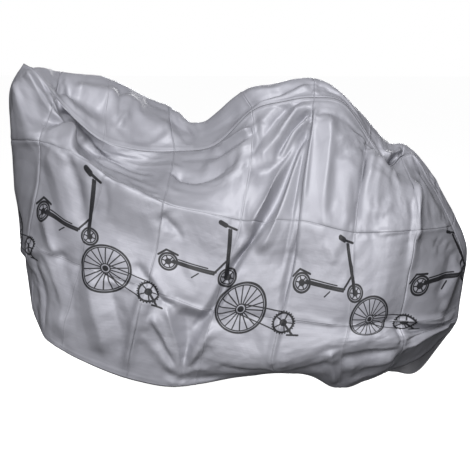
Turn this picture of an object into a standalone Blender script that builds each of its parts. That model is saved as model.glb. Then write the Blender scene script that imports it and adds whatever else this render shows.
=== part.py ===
"""Bicycle cover: two panels of silver film, welded along the top and down both ends.

Metres, +Z up.  +X runs to the rear wheel, -Y is the near side.
The tables give each place as it hangs: x from the middle of the bag, y from the
middle plane, z above the ground.  The finished part is then moved so that its
origin is the point under the top where the saddle carries it.
"""

from collections import namedtuple

import bpy
import numpy as np

# ---- driving sizes -------------------------------------------------------------
PANEL_LENGTH = 2.0          # each flat panel, end weld to end weld
PANEL_HEIGHT = 1.0          # each flat panel, hem to top weld
SHEET = 0.002               # thickness of the cloth solids
WELD_GAP = 0.0003           # the two panels stop this far apart along the weld
SADDLE = (0.235, 0.0, 0.965)    # where the top lies on the saddle
CELLS_ALONG = (6, 7, 6, 6, 10, 6, 6, 6)     # from one upright crease to the next
CELLS_UP = (8, 8, 14)       # from one level crease to the next, hem to top weld

# ---- where the lines of the two panels hang --------------------------------------
# Each line runs along the flat panel at one height of it.  A row gives how far along
# the panel a place is and where that place hangs.
U, X, Y, Z = range(4)       # the columns of these tables
TOP_WELD = [
    (0.000, -0.670, 0.000, 1.010),
    (0.125, -0.620, -0.030, 0.983),
    (0.250, -0.550, -0.050, 0.906),
    (0.375, -0.480, -0.070, 0.833),
    (0.500, -0.400, -0.060, 0.772),
    (0.625, -0.300, -0.030, 0.743),
    (0.750, -0.190, 0.000, 0.739),
    (0.875, -0.060, -0.030, 0.760),
    (1.000, 0.060, -0.060, 0.868),
    (1.125, 0.160, -0.070, 0.898),
    (1.250, 0.250, -0.070, 0.910),
    (1.375, 0.340, -0.060, 0.893),
    (1.500, 0.420, -0.050, 0.782),
    (1.625, 0.475, -0.050, 0.705),
    (1.750, 0.510, 0.020, 0.728),
    (1.875, 0.540, 0.030, 0.738),
    (2.000, 0.565, 0.020, 0.718),
]
NEAR_SHOULDER = [
    (0.000, -0.730, 0.040, 0.925),
    (0.125, -0.700, -0.030, 0.911),
    (0.250, -0.570, -0.100, 0.831),
    (0.375, -0.510, -0.040, 0.773),
    (0.500, -0.420, -0.050, 0.712),
    (0.625, -0.310, -0.080, 0.680),
    (0.750, -0.180, -0.120, 0.675),
    (0.875, -0.050, -0.150, 0.668),
    (1.000, 0.070, -0.140, 0.749),
    (1.125, 0.160, -0.120, 0.769),
    (1.250, 0.240, -0.130, 0.785),
    (1.375, 0.330, -0.140, 0.772),
    (1.500, 0.410, -0.130, 0.728),
    (1.625, 0.475, -0.120, 0.668),
    (1.750, 0.545, -0.100, 0.632),
    (1.875, 0.585, -0.030, 0.631),
    (2.000, 0.610, 0.040, 0.633),
]
NEAR_UPPER_CREASE = [
    (0.000, -0.740, 0.080, 0.763),
    (0.125, -0.690, -0.060, 0.772),
    (0.250, -0.570, -0.160, 0.774),
    (0.375, -0.470, -0.200, 0.742),
    (0.500, -0.360, -0.220, 0.672),
    (0.625, -0.270, -0.230, 0.633),
    (0.750, -0.180, -0.230, 0.596),
    (0.875, -0.060, -0.230, 0.574),
    (1.000, 0.050, -0.230, 0.553),
    (1.250, 0.220, -0.220, 0.554),
    (1.500, 0.385, -0.210, 0.521),
    (1.750, 0.550, -0.150, 0.522),
    (1.875, 0.620, -0.070, 0.518),
    (2.000, 0.670, 0.040, 0.513),
]
NEAR_WAIST = [
    (0.000, -0.730, 0.100, 0.598),
    (0.125, -0.690, -0.040, 0.613),
    (0.250, -0.590, -0.150, 0.611),
    (0.500, -0.410, -0.220, 0.531),
    (0.750, -0.200, -0.240, 0.472),
    (1.000, 0.010, -0.240, 0.419),
    (1.250, 0.200, -0.230, 0.416),
    (1.500, 0.380, -0.230, 0.379),
    (1.750, 0.540, -0.170, 0.387),
    (1.875, 0.630, -0.080, 0.400),
    (2.000, 0.710, 0.050, 0.400),
]
NEAR_LOWER_CREASE = [
    (0.000, -0.710, 0.110, 0.439),
    (0.125, -0.690, -0.020, 0.442),
    (0.250, -0.630, -0.120, 0.457),
    (0.500, -0.440, -0.230, 0.407),
    (0.750, -0.230, -0.260, 0.351),
    (1.000, -0.030, -0.250, 0.282),
    (1.250, 0.170, -0.240, 0.265),
    (1.500, 0.370, -0.230, 0.248),
    (1.750, 0.520, -0.170, 0.255),
    (1.875, 0.620, -0.080, 0.248),
    (2.000, 0.700, 0.050, 0.265),
]
NEAR_HEM_TURN = [
    (0.000, -0.710, 0.120, 0.391),
    (0.125, -0.680, 0.000, 0.397),
    (0.250, -0.620, -0.120, 0.325),
    (0.500, -0.490, -0.210, 0.221),
    (0.750, -0.270, -0.250, 0.175),
    (1.000, -0.070, -0.240, 0.127),
    (1.250, 0.150, -0.220, 0.102),
    (1.500, 0.350, -0.210, 0.140),
    (1.750, 0.520, -0.150, 0.159),
    (1.875, 0.610, -0.070, 0.184),
    (2.000, 0.690, 0.040, 0.209),
]
NEAR_HEM = [
    (0.000, -0.700, 0.120, 0.374),
    (0.125, -0.670, 0.000, 0.364),
    (0.250, -0.620, -0.110, 0.238),
    (0.375, -0.570, -0.170, 0.176),
    (0.500, -0.510, -0.200, 0.140),
    (0.750, -0.300, -0.230, 0.067),
    (1.000, -0.090, -0.210, 0.045),
    (1.125, 0.040, -0.180, 0.070),
    (1.250, 0.190, -0.140, 0.074),
    (1.500, 0.340, -0.120, 0.032),
    (1.750, 0.470, -0.080, 0.072),
    (1.875, 0.580, -0.030, 0.115),
    (2.000, 0.680, 0.040, 0.193),
]
FAR_CREST = [
    (0.125, -0.630, 0.040, 0.986),
    (0.250, -0.570, 0.080, 0.978),
    (0.375, -0.500, 0.120, 0.975),
    (0.500, -0.430, 0.150, 0.955),
    (0.625, -0.330, 0.160, 0.912),
    (0.750, -0.240, 0.160, 0.869),
    (0.875, -0.140, 0.100, 0.811),
    (1.000, 0.010, 0.030, 0.915),
    (1.125, 0.120, 0.020, 0.944),
    (1.250, 0.240, 0.010, 0.959),
    (1.375, 0.330, 0.010, 0.911),
    (1.500, 0.420, 0.020, 0.820),
    (1.625, 0.460, 0.040, 0.773),
    (1.750, 0.520, 0.060, 0.754),
    (1.875, 0.590, 0.075, 0.690),
]
FAR_UPPER_CREASE = [
    (0.125, -0.680, 0.140, 0.820),
    (0.250, -0.590, 0.200, 0.830),
    (0.500, -0.420, 0.230, 0.800),
    (0.750, -0.230, 0.240, 0.720),
    (0.875, -0.120, 0.220, 0.680),
    (1.000, 0.000, 0.190, 0.720),
    (1.250, 0.220, 0.170, 0.760),
    (1.500, 0.410, 0.170, 0.680),
    (1.750, 0.580, 0.150, 0.615),
    (1.875, 0.665, 0.110, 0.560),
]
FAR_WAIST = [
    (0.125, -0.690, 0.170, 0.630),
    (0.250, -0.610, 0.230, 0.630),
    (0.500, -0.430, 0.260, 0.600),
    (0.750, -0.220, 0.270, 0.550),
    (1.000, 0.000, 0.250, 0.520),
    (1.250, 0.210, 0.230, 0.540),
    (1.500, 0.410, 0.220, 0.480),
    (1.750, 0.570, 0.180, 0.430),
    (1.875, 0.710, 0.130, 0.420),
]
FAR_LOWER_CREASE = [
    (0.125, -0.670, 0.180, 0.450),
    (0.250, -0.600, 0.240, 0.440),
    (0.500, -0.430, 0.270, 0.410),
    (0.750, -0.220, 0.280, 0.360),
    (1.000, 0.000, 0.270, 0.330),
    (1.250, 0.200, 0.250, 0.330),
    (1.500, 0.400, 0.240, 0.290),
    (1.750, 0.560, 0.190, 0.270),
    (1.875, 0.670, 0.130, 0.280),
]
FAR_HEM_TURN = [
    (0.125, -0.650, 0.180, 0.370),
    (0.250, -0.580, 0.230, 0.320),
    (0.500, -0.430, 0.250, 0.220),
    (0.750, -0.230, 0.260, 0.160),
    (1.000, -0.010, 0.250, 0.130),
    (1.250, 0.180, 0.230, 0.120),
    (1.500, 0.370, 0.210, 0.130),
    (1.750, 0.520, 0.160, 0.160),
    (1.875, 0.610, 0.110, 0.180),
]
FAR_HEM = [
    (0.125, -0.640, 0.170, 0.340),
    (0.250, -0.560, 0.200, 0.260),
    (0.500, -0.420, 0.210, 0.140),
    (0.750, -0.230, 0.210, 0.080),
    (1.000, -0.020, 0.200, 0.060),
    (1.250, 0.170, 0.170, 0.070),
    (1.500, 0.340, 0.150, 0.055),
    (1.750, 0.500, 0.110, 0.030),
    (1.875, 0.575, 0.080, 0.045),
]
# height of each line on the flat panel, hem to top weld
LINE_HEIGHTS = (0.0, 0.1, 1 / 3, 0.5, 2 / 3, 0.83, 1.0)
NEAR_LINES = (
    NEAR_HEM,
    NEAR_HEM_TURN,
    NEAR_LOWER_CREASE,
    NEAR_WAIST,
    NEAR_UPPER_CREASE,
    NEAR_SHOULDER,
    TOP_WELD,
)
FAR_LINES = (
    FAR_HEM,
    FAR_HEM_TURN,
    FAR_LOWER_CREASE,
    FAR_WAIST,
    FAR_UPPER_CREASE,
    FAR_CREST,
    TOP_WELD,
)

# ---- folds: their line on the flat panel, and how they stand out of it ----------
# A height above nought is a ridge and one below is a trough.  Each runs from its
# first height to its last, falls off by its own width on the left and the right of
# its line, and is as many times wider at its last point as its flare says.
# Points are (u, v): along the flat panel, and up it from the hem.
Fold = namedtuple("Fold", "points start end left right flare")
NEAR_FOLDS = [
    # front end, below the grip
    Fold(((0.08, 0.91), (0.15, 0.85), (0.19, 0.78), (0.23, 0.64)), 0.010, 0.014, 0.05, 0.02, 1.4),
    Fold(((0.15, 0.90), (0.21, 0.77), (0.26, 0.65)), -0.008, -0.008, 0.03, 0.03, 1.0),
    Fold(((0.06, 1.00), (0.17, 0.95), (0.23, 0.90), (0.29, 0.83)), 0.018, 0.010, 0.02, 0.04, 1.0),
    Fold(((0.20, 1.00), (0.24, 0.96), (0.30, 0.88), (0.38, 0.67)), 0.014, 0.036, 0.03, 0.03, 1.2),
    Fold(((0.28, 0.97), (0.34, 0.93), (0.43, 0.86)), -0.022, -0.016, 0.04, 0.04, 1.0),
    # the ledge between grip and saddle
    Fold(((0.38, 0.67), (0.52, 0.66), (0.76, 0.665), (1.00, 0.665)), 0.032, 0.008, 0.03, 0.06, 0.7),
    Fold(((0.41, 0.72), (0.50, 0.76), (0.60, 0.72), (0.72, 0.69)), -0.020, -0.010, 0.04, 0.02, 1.0),
    Fold(((0.74, 0.83), (0.81, 0.83), (0.88, 0.85), (0.97, 0.83)), -0.016, -0.012, 0.05, 0.03, 1.0),
    Fold(((0.83, 0.91), (0.91, 0.89), (1.01, 0.84)), 0.010, 0.010, 0.03, 0.03, 1.0),
    # below the saddle
    Fold(((1.21, 0.99), (1.16, 0.92), (1.08, 0.84), (1.01, 0.79)), 0.014, 0.012, 0.035, 0.02, 1.2),
    Fold(((1.15, 0.99), (1.10, 0.94), (1.06, 0.89), (1.01, 0.83)), -0.014, -0.010, 0.02, 0.03, 1.2),
    Fold(((1.25, 0.95), (1.21, 0.91), (1.15, 0.85), (1.09, 0.79)), -0.014, -0.014, 0.02, 0.02, 1.3),
    Fold(((1.00, 0.78), (1.08, 0.78), (1.16, 0.81), (1.25, 0.90)), -0.016, -0.014, 0.02, 0.03, 0.7),
    Fold(((1.23, 0.88), (1.17, 0.80), (1.12, 0.75), (1.02, 0.64)), 0.012, 0.020, 0.02, 0.04, 1.6),
    Fold(((1.25, 0.90), (1.17, 0.76), (1.08, 0.65), (1.04, 0.45)), -0.014, -0.018, 0.025, 0.02, 1.5),
    Fold(((1.25, 0.85), (1.20, 0.77), (1.16, 0.71), (1.10, 0.55)), 0.014, 0.012, 0.03, 0.02, 1.3),
    Fold(((1.25, 0.92), (1.23, 0.80), (1.215, 0.60), (1.21, 0.46)), -0.016, -0.008, 0.02, 0.03, 1.0),
    Fold(((1.25, 0.99), (1.26, 0.85), (1.255, 0.68)), 0.014, 0.010, 0.03, 0.02, 1.0),
    Fold(((1.33, 0.93), (1.35, 0.76), (1.36, 0.62)), 0.010, 0.010, 0.05, 0.08, 1.0),
    Fold(((0.90, 0.98), (0.96, 0.94), (1.01, 0.91)), 0.012, 0.014, 0.02, 0.03, 1.0),
    # towards the rear wheel
    Fold(((1.49, 0.92), (1.49, 0.80), (1.49, 0.68)), -0.012, -0.008, 0.03, 0.02, 1.0),
    Fold(((1.56, 0.95), (1.57, 0.80), (1.58, 0.68)), 0.012, 0.008, 0.05, 0.05, 1.0),
    Fold(((1.64, 0.93), (1.68, 0.78), (1.70, 0.66)), 0.012, 0.010, 0.05, 0.05, 1.0),
    Fold(((1.78, 0.88), (1.765, 0.75), (1.76, 0.62)), 0.012, 0.016, 0.02, 0.02, 1.0),
    Fold(((1.89, 0.40), (1.94, 0.46), (1.99, 0.50)), 0.012, 0.012, 0.03, 0.03, 1.0),
    # the lower wall and the hem
    Fold(((0.30, 0.48), (0.37, 0.38), (0.42, 0.33)), 0.008, 0.014, 0.04, 0.03, 1.0),
    Fold(((0.33, 0.33), (0.41, 0.22), (0.50, 0.12)), -0.010, -0.010, 0.06, 0.06, 1.0),
    Fold(((0.53, 0.33), (0.58, 0.22), (0.67, 0.05)), 0.012, 0.010, 0.06, 0.05, 1.2),
    Fold(((0.75, 0.34), (0.74, 0.22), (0.735, 0.01)), 0.014, 0.010, 0.04, 0.02, 1.0),
    Fold(((0.94, 0.05), (0.86, 0.13), (0.78, 0.24)), 0.008, 0.012, 0.02, 0.02, 1.6),
    Fold(((0.94, 0.06), (0.89, 0.17), (0.83, 0.31)), 0.008, 0.014, 0.02, 0.02, 1.8),
    Fold(((0.945, 0.06), (0.93, 0.20), (0.90, 0.32)), -0.012, -0.020, 0.025, 0.03, 1.8),
    Fold(((0.95, 0.06), (0.975, 0.12), (1.02, 0.30)), 0.010, 0.014, 0.02, 0.02, 1.8),
    Fold(((0.75, 0.64), (0.78, 0.60), (0.84, 0.55)), -0.010, -0.004, 0.02, 0.02, 1.0),
    Fold(((1.75, 0.34), (1.85, 0.31), (1.97, 0.26)), 0.014, 0.014, 0.02, 0.03, 1.0),
    Fold(((1.76, 0.24), (1.86, 0.25), (1.96, 0.23)), -0.014, -0.014, 0.03, 0.03, 1.0),
    Fold(((1.76, 0.12), (1.85, 0.17), (1.96, 0.19)), 0.012, 0.010, 0.02, 0.02, 1.0),
    Fold(((1.45, 0.17), (1.46, 0.08), (1.47, 0.01)), 0.014, 0.014, 0.02, 0.02, 1.0),
    Fold(((1.50, 0.04), (1.62, 0.06), (1.74, 0.09)), 0.012, 0.010, 0.02, 0.02, 1.0),
]
FAR_FOLDS = [
    # the part that comes over the grip and shows above the weld
    Fold(((0.22, 0.985), (0.30, 0.94), (0.40, 0.93), (0.54, 0.94)), -0.014, -0.014, 0.02, 0.02, 1.0),
    Fold(((0.33, 0.915), (0.43, 0.90), (0.55, 0.885)), 0.014, 0.014, 0.02, 0.02, 1.0),
    Fold(((0.555, 0.88), (0.565, 0.915), (0.555, 0.96)), 0.012, 0.012, 0.03, 0.02, 1.0),
    Fold(((0.55, 0.885), (0.60, 0.885), (0.68, 0.905), (0.77, 0.94)), 0.014, 0.012, 0.05, 0.02, 1.0),
    Fold(((0.90, 0.93), (1.05, 0.96), (1.15, 0.94), (1.22, 0.92)), -0.014, -0.010, 0.02, 0.02, 1.0),
    Fold(((1.00, 0.985), (1.10, 0.965), (1.17, 0.945), (1.25, 0.92)), 0.012, 0.010, 0.02, 0.02, 1.0),
    Fold(((1.56, 0.97), (1.66, 0.94), (1.74, 0.945)), 0.016, 0.014, 0.02, 0.03, 1.0),
    Fold(((1.57, 0.995), (1.65, 0.985), (1.71, 0.965)), -0.022, -0.018, 0.02, 0.02, 1.0),
    # the far wall
    Fold(((0.30, 0.82), (0.36, 0.60), (0.44, 0.40)), 0.020, 0.012, 0.04, 0.05, 1.5),
    Fold(((0.42, 0.80), (0.52, 0.58), (0.60, 0.38)), -0.018, -0.010, 0.04, 0.04, 1.5),
    Fold(((0.60, 0.80), (0.70, 0.62), (0.84, 0.50)), 0.018, 0.010, 0.04, 0.04, 1.5),
    Fold(((1.22, 0.82), (1.12, 0.62), (1.00, 0.44)), 0.022, 0.012, 0.04, 0.04, 1.6),
    Fold(((1.25, 0.82), (1.22, 0.60), (1.18, 0.36)), -0.018, -0.010, 0.03, 0.04, 1.6),
    Fold(((1.28, 0.82), (1.32, 0.60), (1.34, 0.34)), 0.020, 0.012, 0.04, 0.04, 1.6),
    Fold(((1.36, 0.80), (1.46, 0.60), (1.54, 0.42)), -0.016, -0.010, 0.04, 0.04, 1.6),
    Fold(((1.74, 0.84), (1.72, 0.60), (1.70, 0.30)), 0.016, 0.012, 0.04, 0.04, 1.4),
    Fold(((0.62, 0.02), (0.66, 0.14), (0.72, 0.30)), 0.014, 0.010, 0.03, 0.03, 1.6),
    Fold(((1.10, 0.02), (1.06, 0.16), (1.00, 0.32)), -0.014, -0.010, 0.03, 0.03, 1.6),
    Fold(((1.46, 0.02), (1.44, 0.14), (1.40, 0.30)), 0.014, 0.010, 0.03, 0.03, 1.6),
]
FOLDS = {"near": NEAR_FOLDS, "far": FAR_FOLDS}
FOLD_FADE = 0.18            # share of a fold's run over which it rises at each end
CREST_ROUNDING = 0.25       # how round a fold's crest is, as a share of its width
PATH_STEPS = 6              # steps between two points of a fold's line
WELD_HOLD = 0.03            # a fold dies away this close to a weld
UPRIGHT_CREASES = (0.25, 0.5, 0.75, 1.0, 1.25, 1.5, 1.75)
LEVEL_CREASES = (1 / 3, 2 / 3)
CREASE_RISE = 0.004         # how far a packing crease stands out or in
CREASE_REACH = 0.018        # how soon it falls off to each side


# ---- the hanging surface --------------------------------------------------------
def smooth_curve(knots, values, at):
    """A smooth curve through the values at the knots, read at the places in at."""
    knots = np.asarray(knots, float)
    values = np.asarray(values, float)
    step = np.diff(knots)[:, None]
    slope = np.diff(values, axis=0) / step
    tangent = np.empty_like(values)
    tangent[1:-1] = (slope[:-1] * step[1:] + slope[1:] * step[:-1]) / (step[1:] + step[:-1])
    tangent[0] = slope[0]
    tangent[-1] = slope[-1]
    cell = np.clip(np.searchsorted(knots, at, side="right") - 1, 0, len(knots) - 2)
    width = step[cell]
    t = (np.asarray(at, float)[:, None] - knots[cell][:, None]) / width
    return (
        values[cell] * (1 + 2 * t) * (1 - t) ** 2
        + tangent[cell] * width * t * (1 - t) ** 2
        + values[cell + 1] * t**2 * (3 - 2 * t)
        - tangent[cell + 1] * width * t**2 * (1 - t)
    )


def panel_lines(side):
    """The seven lines of one panel; the far ones take their ends from the near ones."""
    if side == "near":
        return [np.array(line) for line in NEAR_LINES]
    lines = []
    for near, far in zip(NEAR_LINES[:-1], FAR_LINES[:-1]):
        lines.append(np.array([near[0], *far, near[-1]]))
    return lines + [np.array(TOP_WELD)]


def hanging_net(side, us, vs):
    """Points of one panel before its folds, as an array of rows by columns by xyz."""
    rows = [smooth_curve(line[:, U], line[:, X : Z + 1], us) for line in panel_lines(side)]
    flat = np.stack(rows).reshape(len(rows), -1)
    return smooth_curve(LINE_HEIGHTS, flat, vs).reshape(len(vs), len(us), 3)


def unit(vectors):
    """The same directions with a length of one."""
    return vectors / np.linalg.norm(vectors, axis=-1, keepdims=True)


def outward(points, side):
    """Outward directions on a panel's grid of points."""
    along = np.gradient(points, axis=1)
    up = np.gradient(points, axis=0)
    sign = 1.0 if side == "near" else -1.0
    return unit(sign * np.cross(along, up))


def fold_path(points):
    """A fold's points joined by a smooth curve, and how far along it each lies."""
    points = np.array(points, float)
    reach = np.concatenate([[0.0], np.cumsum(np.linalg.norm(np.diff(points, axis=0), axis=1))])
    at = np.linspace(0.0, reach[-1], PATH_STEPS * (len(points) - 1) + 1)
    return smooth_curve(reach, points, at), at / reach[-1]


def fold_relief(flat_points, folds):
    """How far each flat point stands out of the cloth by the folds near it."""
    relief = np.zeros(len(flat_points))
    for fold in folds:
        path, share = fold_path(fold.points)
        nearest = np.full(len(flat_points), np.inf)
        side = np.zeros(len(flat_points))
        along = np.zeros(len(flat_points))
        for a, b, s0, s1 in zip(path[:-1], path[1:], share[:-1], share[1:]):
            run = b - a
            offset = flat_points - a
            t = np.clip(offset @ run / (run @ run), 0.0, 1.0)
            gap = offset - t[:, None] * run
            distance = np.hypot(gap[:, 0], gap[:, 1])
            closer = distance < nearest
            nearest = np.where(closer, distance, nearest)
            cross = run[0] * offset[:, 1] - run[1] * offset[:, 0]
            side = np.where(closer, cross, side)
            along = np.where(closer, s0 + t * (s1 - s0), along)
        width = np.where(side > 0.0, fold.left, fold.right) * (1.0 + (fold.flare - 1.0) * along)
        round_off = CREST_ROUNDING * width
        fall = np.exp(-(np.sqrt(nearest**2 + round_off**2) - round_off) / width)
        fade = np.clip(np.minimum(along, 1.0 - along) / FOLD_FADE, 0.0, 1.0)
        fade = fade * fade * (3.0 - 2.0 * fade)
        relief += (fold.start + (fold.end - fold.start) * along) * fall * fade
    return relief


def crease_relief(flat_points):
    """The packing creases: ridges and troughs by turns, on a grid of straight lines."""
    relief = np.zeros(len(flat_points))
    lines = [(0, u) for u in UPRIGHT_CREASES] + [(1, v) for v in LEVEL_CREASES]
    for number, (axis, place) in enumerate(lines):
        distance = np.abs(flat_points[:, axis] - place)
        turn = 1.0 if number % 2 == 0 else -1.0
        relief += turn * CREASE_RISE * np.exp(-distance / CREASE_REACH)
    return relief


def edge_hold(us, vs):
    """Nought on the welds, where the two panels share one line, and one inside."""
    from_weld = (PANEL_HEIGHT - vs)[:, None]
    from_ends = np.minimum(us, PANEL_LENGTH - us)[None, :]
    inside = np.clip(np.minimum(from_weld, from_ends) / WELD_HOLD, 0.0, 1.0)
    return inside * inside * (3.0 - 2.0 * inside)


def folded_panel(side, us, vs):
    """Points of one panel with its folds."""
    points = hanging_net(side, us, vs)
    grid = np.stack(np.meshgrid(us, vs), axis=-1).reshape(-1, 2)
    relief = fold_relief(grid, FOLDS[side]) + crease_relief(grid)
    relief = relief.reshape(len(vs), len(us)) * edge_hold(us, vs)
    return points + outward(points, side) * relief[..., None]


# ---- the two solids --------------------------------------------------------------
def shared_outward(near, far):
    """Outward directions of both panels, alike along the welds that they share."""
    near_out = outward(near, "near")
    far_out = outward(far, "far")
    for weld in ((-1, slice(1, -1)), (slice(0, -1), 0), (slice(0, -1), -1)):
        both = unit(near_out[weld] + far_out[weld])
        near_out[weld] = both
        far_out[weld] = both
    for column, beside in ((0, 1), (-1, -2)):
        corner = unit(near_out[-1, beside] + near_out[-2, column])
        near_out[-1, column] = corner
        far_out[-1, column] = corner
    return near_out, far_out


def open_welds(points, out, side):
    """Draw the panel's edge back from each weld by half the weld gap."""
    back = 0.5 * WELD_GAP * (-1.0 if side == "near" else 1.0)
    drawn = points.copy()
    top = np.cross(out[-1], unit(np.gradient(points[-1], axis=0)))
    front = np.cross(out[:, 0], unit(np.gradient(points[:, 0], axis=0)))
    rear = np.cross(out[:, -1], unit(np.gradient(points[:, -1], axis=0)))
    drawn[-1] += back * unit(top)
    drawn[:, 0] += back * unit(front)
    drawn[:, -1] -= back * unit(rear)
    return drawn


def grid_faces(outer, first, flip):
    """Triangles over a grid of points that starts at the number first.

    Each cell is cut along the shorter of its two diagonals on the sheet's outer side,
    so that both sides of the sheet are cut alike and keep their distance.
    """
    rising = np.linalg.norm(outer[1:, 1:] - outer[:-1, :-1], axis=-1)
    falling = np.linalg.norm(outer[1:, :-1] - outer[:-1, 1:], axis=-1)
    wide = outer.shape[1]
    faces = []
    for (row, column), shorter in np.ndenumerate(rising <= falling):
        a = first + row * wide + column
        b, c, d = a + 1, a + 1 + wide, a + wide
        halves = ((a, b, c), (a, c, d)) if shorter else ((a, b, d), (b, c, d))
        faces += [half[::-1] if flip else half for half in halves]
    return faces


def rim_points(rows, columns):
    """The numbers of a grid's edge points, once round."""
    wide = columns + 1
    lower = list(range(wide))
    rear = [row * wide + columns for row in range(1, rows + 1)]
    upper = [rows * wide + column for column in range(columns - 1, -1, -1)]
    front = [row * wide for row in range(rows - 1, 0, -1)]
    return lower + rear + upper + front


def even_places(marks, cells):
    """Places from mark to mark, with the given number of even cells between them."""
    places = [np.array(marks[:1])]
    for a, b, count in zip(marks[:-1], marks[1:], cells):
        places.append(np.linspace(a, b, count + 1)[1:])
    return np.concatenate(places)


def sheet_mesh(name, outer, inner, side):
    """A closed sheet between its outer and its inner grid of points.

    The rim is cut into triangles here, alike on both panels, so that their edges
    face each other along a weld without crossing.
    """
    count = outer.shape[0] * outer.shape[1]
    flip = side == "far"
    faces = grid_faces(outer, 0, flip) + grid_faces(outer, count, not flip)
    rim = rim_points(outer.shape[0] - 1, outer.shape[1] - 1)
    for a, b in zip(rim, rim[1:] + rim[:1]):
        for face in ((b, a, a + count), (b, a + count, b + count)):
            faces.append(face[::-1] if flip else face)
    mesh = bpy.data.meshes.new(name)
    points = np.concatenate([outer.reshape(-1, 3), inner.reshape(-1, 3)])
    mesh.from_pydata(points.tolist(), [], faces)
    mesh.update()
    mesh.shade_smooth()
    return mesh


def film_material(name, colour):
    """Silver film: soft sheen, a little metallic."""
    material = bpy.data.materials.new(name)
    material.use_nodes = True
    surface = material.node_tree.nodes["Principled BSDF"]
    surface.inputs["Base Color"].default_value = colour
    surface.inputs["Metallic"].default_value = 0.3
    surface.inputs["Roughness"].default_value = 0.42
    return material


def add_panel(name, outer, out, side, colour, stand):
    """One panel as an object of its own, moved so that the saddle point is nought."""
    mesh = sheet_mesh(name, outer, outer - SHEET * out, side)
    mesh.materials.append(film_material(name + "_film", colour))
    panel = bpy.data.objects.new(name, mesh)
    bpy.context.collection.objects.link(panel)
    panel.parent = stand
    panel.location = [-place for place in SADDLE]
    return panel


def main():
    for thing in list(bpy.data.objects):
        bpy.data.objects.remove(thing)
    stand = bpy.data.objects.new("bicycle_cover", None)
    bpy.context.collection.objects.link(stand)
    us = even_places((0.0, *UPRIGHT_CREASES, PANEL_LENGTH), CELLS_ALONG)
    vs = even_places((0.0, *LEVEL_CREASES, PANEL_HEIGHT), CELLS_UP)
    near = folded_panel("near", us, vs)
    far = folded_panel("far", us, vs)
    near_out, far_out = shared_outward(near, far)
    near = open_welds(near, near_out, "near")
    far = open_welds(far, far_out, "far")
    add_panel("near_panel", near, near_out, "near", (0.47, 0.47, 0.52, 1.0), stand)
    add_panel("far_panel", far, far_out, "far", (0.44, 0.44, 0.49, 1.0), stand)


main()
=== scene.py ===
"""Bicycle cover: two panels of silver plastic film, welded along the top and down both ends.

Metres, +Z up.  +X runs to the rear end, -Y is the near side.  The tables give each place as
it hangs: x from the middle of the bag, y from the middle plane, z above the ground.  The
finished pieces are then moved so that the mount's point, under the middle peak of the
top, is the origin.
"""

from collections import namedtuple
from math import cos, pi, radians, sin

import bpy
import numpy as np
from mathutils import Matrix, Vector


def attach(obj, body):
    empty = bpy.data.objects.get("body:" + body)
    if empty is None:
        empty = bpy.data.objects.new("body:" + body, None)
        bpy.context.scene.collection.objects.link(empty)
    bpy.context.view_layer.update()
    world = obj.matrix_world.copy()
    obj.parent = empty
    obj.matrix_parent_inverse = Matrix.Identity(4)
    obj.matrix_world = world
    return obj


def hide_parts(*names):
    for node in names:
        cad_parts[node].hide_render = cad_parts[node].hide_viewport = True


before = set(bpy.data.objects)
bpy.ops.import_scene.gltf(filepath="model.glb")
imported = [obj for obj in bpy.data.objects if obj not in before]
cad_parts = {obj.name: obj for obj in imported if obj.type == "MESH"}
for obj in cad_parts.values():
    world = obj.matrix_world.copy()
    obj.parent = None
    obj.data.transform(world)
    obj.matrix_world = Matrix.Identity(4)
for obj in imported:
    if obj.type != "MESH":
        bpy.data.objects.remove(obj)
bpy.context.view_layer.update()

# ---- driving sizes -------------------------------------------------------------
PANEL_LENGTH = 2.0          # each flat panel, end weld to end weld
PANEL_HEIGHT = 1.0          # each flat panel, hem to top weld
SADDLE = (0.235, 0.0, 0.965)    # the mount's point, under the middle peak of the top
FILM = 0.0012               # thickness of the film sheets; the real film has 0.07 mm

# ---- where the lines of the two panels hang --------------------------------------
# Each line runs along the flat panel at one height of it.  A row gives how far along
# the panel a place is and where that place hangs.
U, X, Y, Z = range(4)       # the columns of these tables
TOP_WELD = [
    (0.000, -0.670, 0.000, 1.010),
    (0.125, -0.620, -0.030, 0.983),
    (0.250, -0.550, -0.050, 0.906),
    (0.375, -0.480, -0.070, 0.833),
    (0.500, -0.400, -0.060, 0.772),
    (0.625, -0.300, -0.030, 0.743),
    (0.750, -0.190, 0.000, 0.739),
    (0.875, -0.060, -0.030, 0.760),
    (1.000, 0.060, -0.060, 0.868),
    (1.125, 0.160, -0.070, 0.898),
    (1.250, 0.250, -0.070, 0.910),
    (1.375, 0.340, -0.060, 0.893),
    (1.500, 0.420, -0.050, 0.782),
    (1.625, 0.475, -0.050, 0.705),
    (1.750, 0.510, 0.020, 0.728),
    (1.875, 0.540, 0.030, 0.738),
    (2.000, 0.565, 0.020, 0.718),
]
NEAR_SHOULDER = [
    (0.000, -0.730, 0.040, 0.925),
    (0.125, -0.700, -0.030, 0.911),
    (0.250, -0.570, -0.100, 0.831),
    (0.375, -0.510, -0.040, 0.773),
    (0.500, -0.420, -0.050, 0.712),
    (0.625, -0.310, -0.080, 0.680),
    (0.750, -0.180, -0.120, 0.675),
    (0.875, -0.050, -0.150, 0.668),
    (1.000, 0.070, -0.140, 0.749),
    (1.125, 0.160, -0.120, 0.769),
    (1.250, 0.240, -0.130, 0.785),
    (1.375, 0.330, -0.140, 0.772),
    (1.500, 0.410, -0.130, 0.728),
    (1.625, 0.475, -0.120, 0.668),
    (1.750, 0.545, -0.100, 0.632),
    (1.875, 0.585, -0.030, 0.631),
    (2.000, 0.610, 0.040, 0.633),
]
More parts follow.
